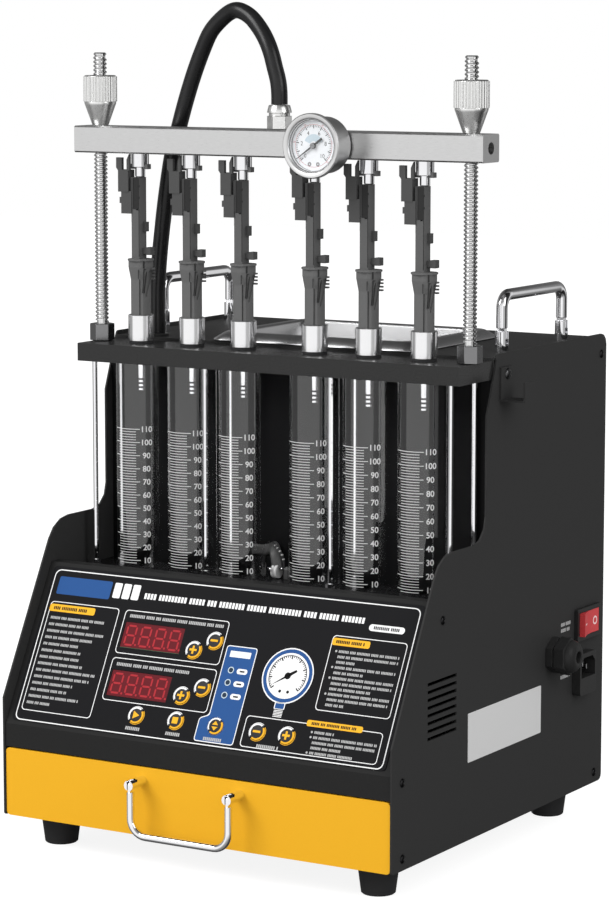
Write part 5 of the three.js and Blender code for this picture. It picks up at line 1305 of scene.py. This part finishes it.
def make_stage():
    mesh = bpy.data.meshes.new("floor")
    corners = [(x * FLOOR_REACH, y * FLOOR_REACH, 0) for x, y in ((-1, -1), (1, -1), (1, 1), (-1, 1))]
    mesh.from_pydata(corners, [], [(0, 1, 2, 3)])
    floor = bpy.data.objects.new("floor", mesh)
    bpy.context.scene.collection.objects.link(floor)
    material = bpy.data.materials.new("floor_white")
    material.use_nodes = True
    tree = material.node_tree
    tree.nodes.clear()
    seen = any_ray(tree, "Is Camera Ray", "Is Glossy Ray", "Is Transmission Ray")
    paint = add(tree, "ShaderNodeBsdfDiffuse", (0, (FLOOR_PAINT, FLOOR_PAINT, FLOOR_PAINT, 1)))
    glow = add(tree, "ShaderNodeEmission", (0, WHITE), (1, worked(tree, "MULTIPLY", seen, FLOOR_GLOW)))
    both = add(tree, "ShaderNodeAddShader", (0, paint.outputs[0]), (1, glow.outputs[0]))
    add(tree, "ShaderNodeOutputMaterial", (0, both.outputs[0]))
    mesh.materials.append(material)
    floor.visible_glossy = False


def set_ramp(node, stops):
    marks = node.color_ramp.elements
    for k, (share, level) in enumerate(stops):
        mark = marks[k] if k in (0, 1) else marks.new(share)
        mark.position = share
        mark.color = (level, level, level, 1)


def around_studio():
    """The studio's strengths as shares of a whole turn from the left, as the radial gradient counts it."""
    stops = sorted((((angle + CAMERA_SIDE + 180) % 360) / 360, level) for angle, level in STUDIO[:-1])
    (first, low), (last, high) = stops[0], stops[-1]
    seam = low + (high - low) * first / (1 - last + first)
    return [(0.0, seam)] + stops + [(1.0, seam)]


def make_world():
    """White to the camera and through clear pieces, an even fill on the object, a dark-panelled studio in gloss."""
    world = bpy.data.worlds.new("studio")
    bpy.context.scene.world = world
    world.use_nodes = True
    tree = world.node_tree
    tree.nodes.clear()
    coords = add(tree, "ShaderNodeTexCoord")
    turn = add(tree, "ShaderNodeTexGradient", (0, coords.outputs["Generated"]), gradient_type="RADIAL")
    panels = add(tree, "ShaderNodeValToRGB", (0, turn.outputs["Fac"]))
    set_ramp(panels, around_studio())
    split = add(tree, "ShaderNodeSeparateXYZ", (0, coords.outputs["Generated"]))
    rise = worked(tree, "MULTIPLY_ADD", split.outputs["Z"], 0.5, 0.5)
    heights = add(tree, "ShaderNodeValToRGB", (0, rise))
    set_ramp(heights, [((z + 1) / 2, level) for z, level in STUDIO_HEIGHTS])
    studio = worked(tree, "MULTIPLY", panels.outputs["Color"], heights.outputs["Color"])
    gloss = add(tree, "ShaderNodeMix", (0, any_ray(tree, "Is Glossy Ray")), (2, FILL), (3, studio))
    white = any_ray(tree, "Is Camera Ray", "Is Transmission Ray")
    level = add(tree, "ShaderNodeMix", (0, white), (2, gloss.outputs[0]), (3, 1.0))
    sky = add(tree, "ShaderNodeBackground", (0, WHITE), (1, level.outputs[0]))
    add(tree, "ShaderNodeOutputWorld", (0, sky.outputs[0]))


def make_light(name, place_m, size, power):
    light = bpy.data.lights.new(name, "AREA")
    light.shape = "RECTANGLE"
    light.size, light.size_y = size
    light.energy = power
    item = bpy.data.objects.new(name, light)
    bpy.context.scene.collection.objects.link(item)
    item.location = place_m
    item.rotation_euler = (LIGHT_AIM - Vector(place_m)).to_track_quat("-Z", "Y").to_euler()


make_stage()
make_world()
make_light("key_light", (-1.2, -1.8, 2.0), (1.4, 1.4), 36)
make_light("side_light", (2.4, -0.6, 1.6), (1.2, 1.8), 16)
bpy.context.scene.view_settings.view_transform = "Standard"
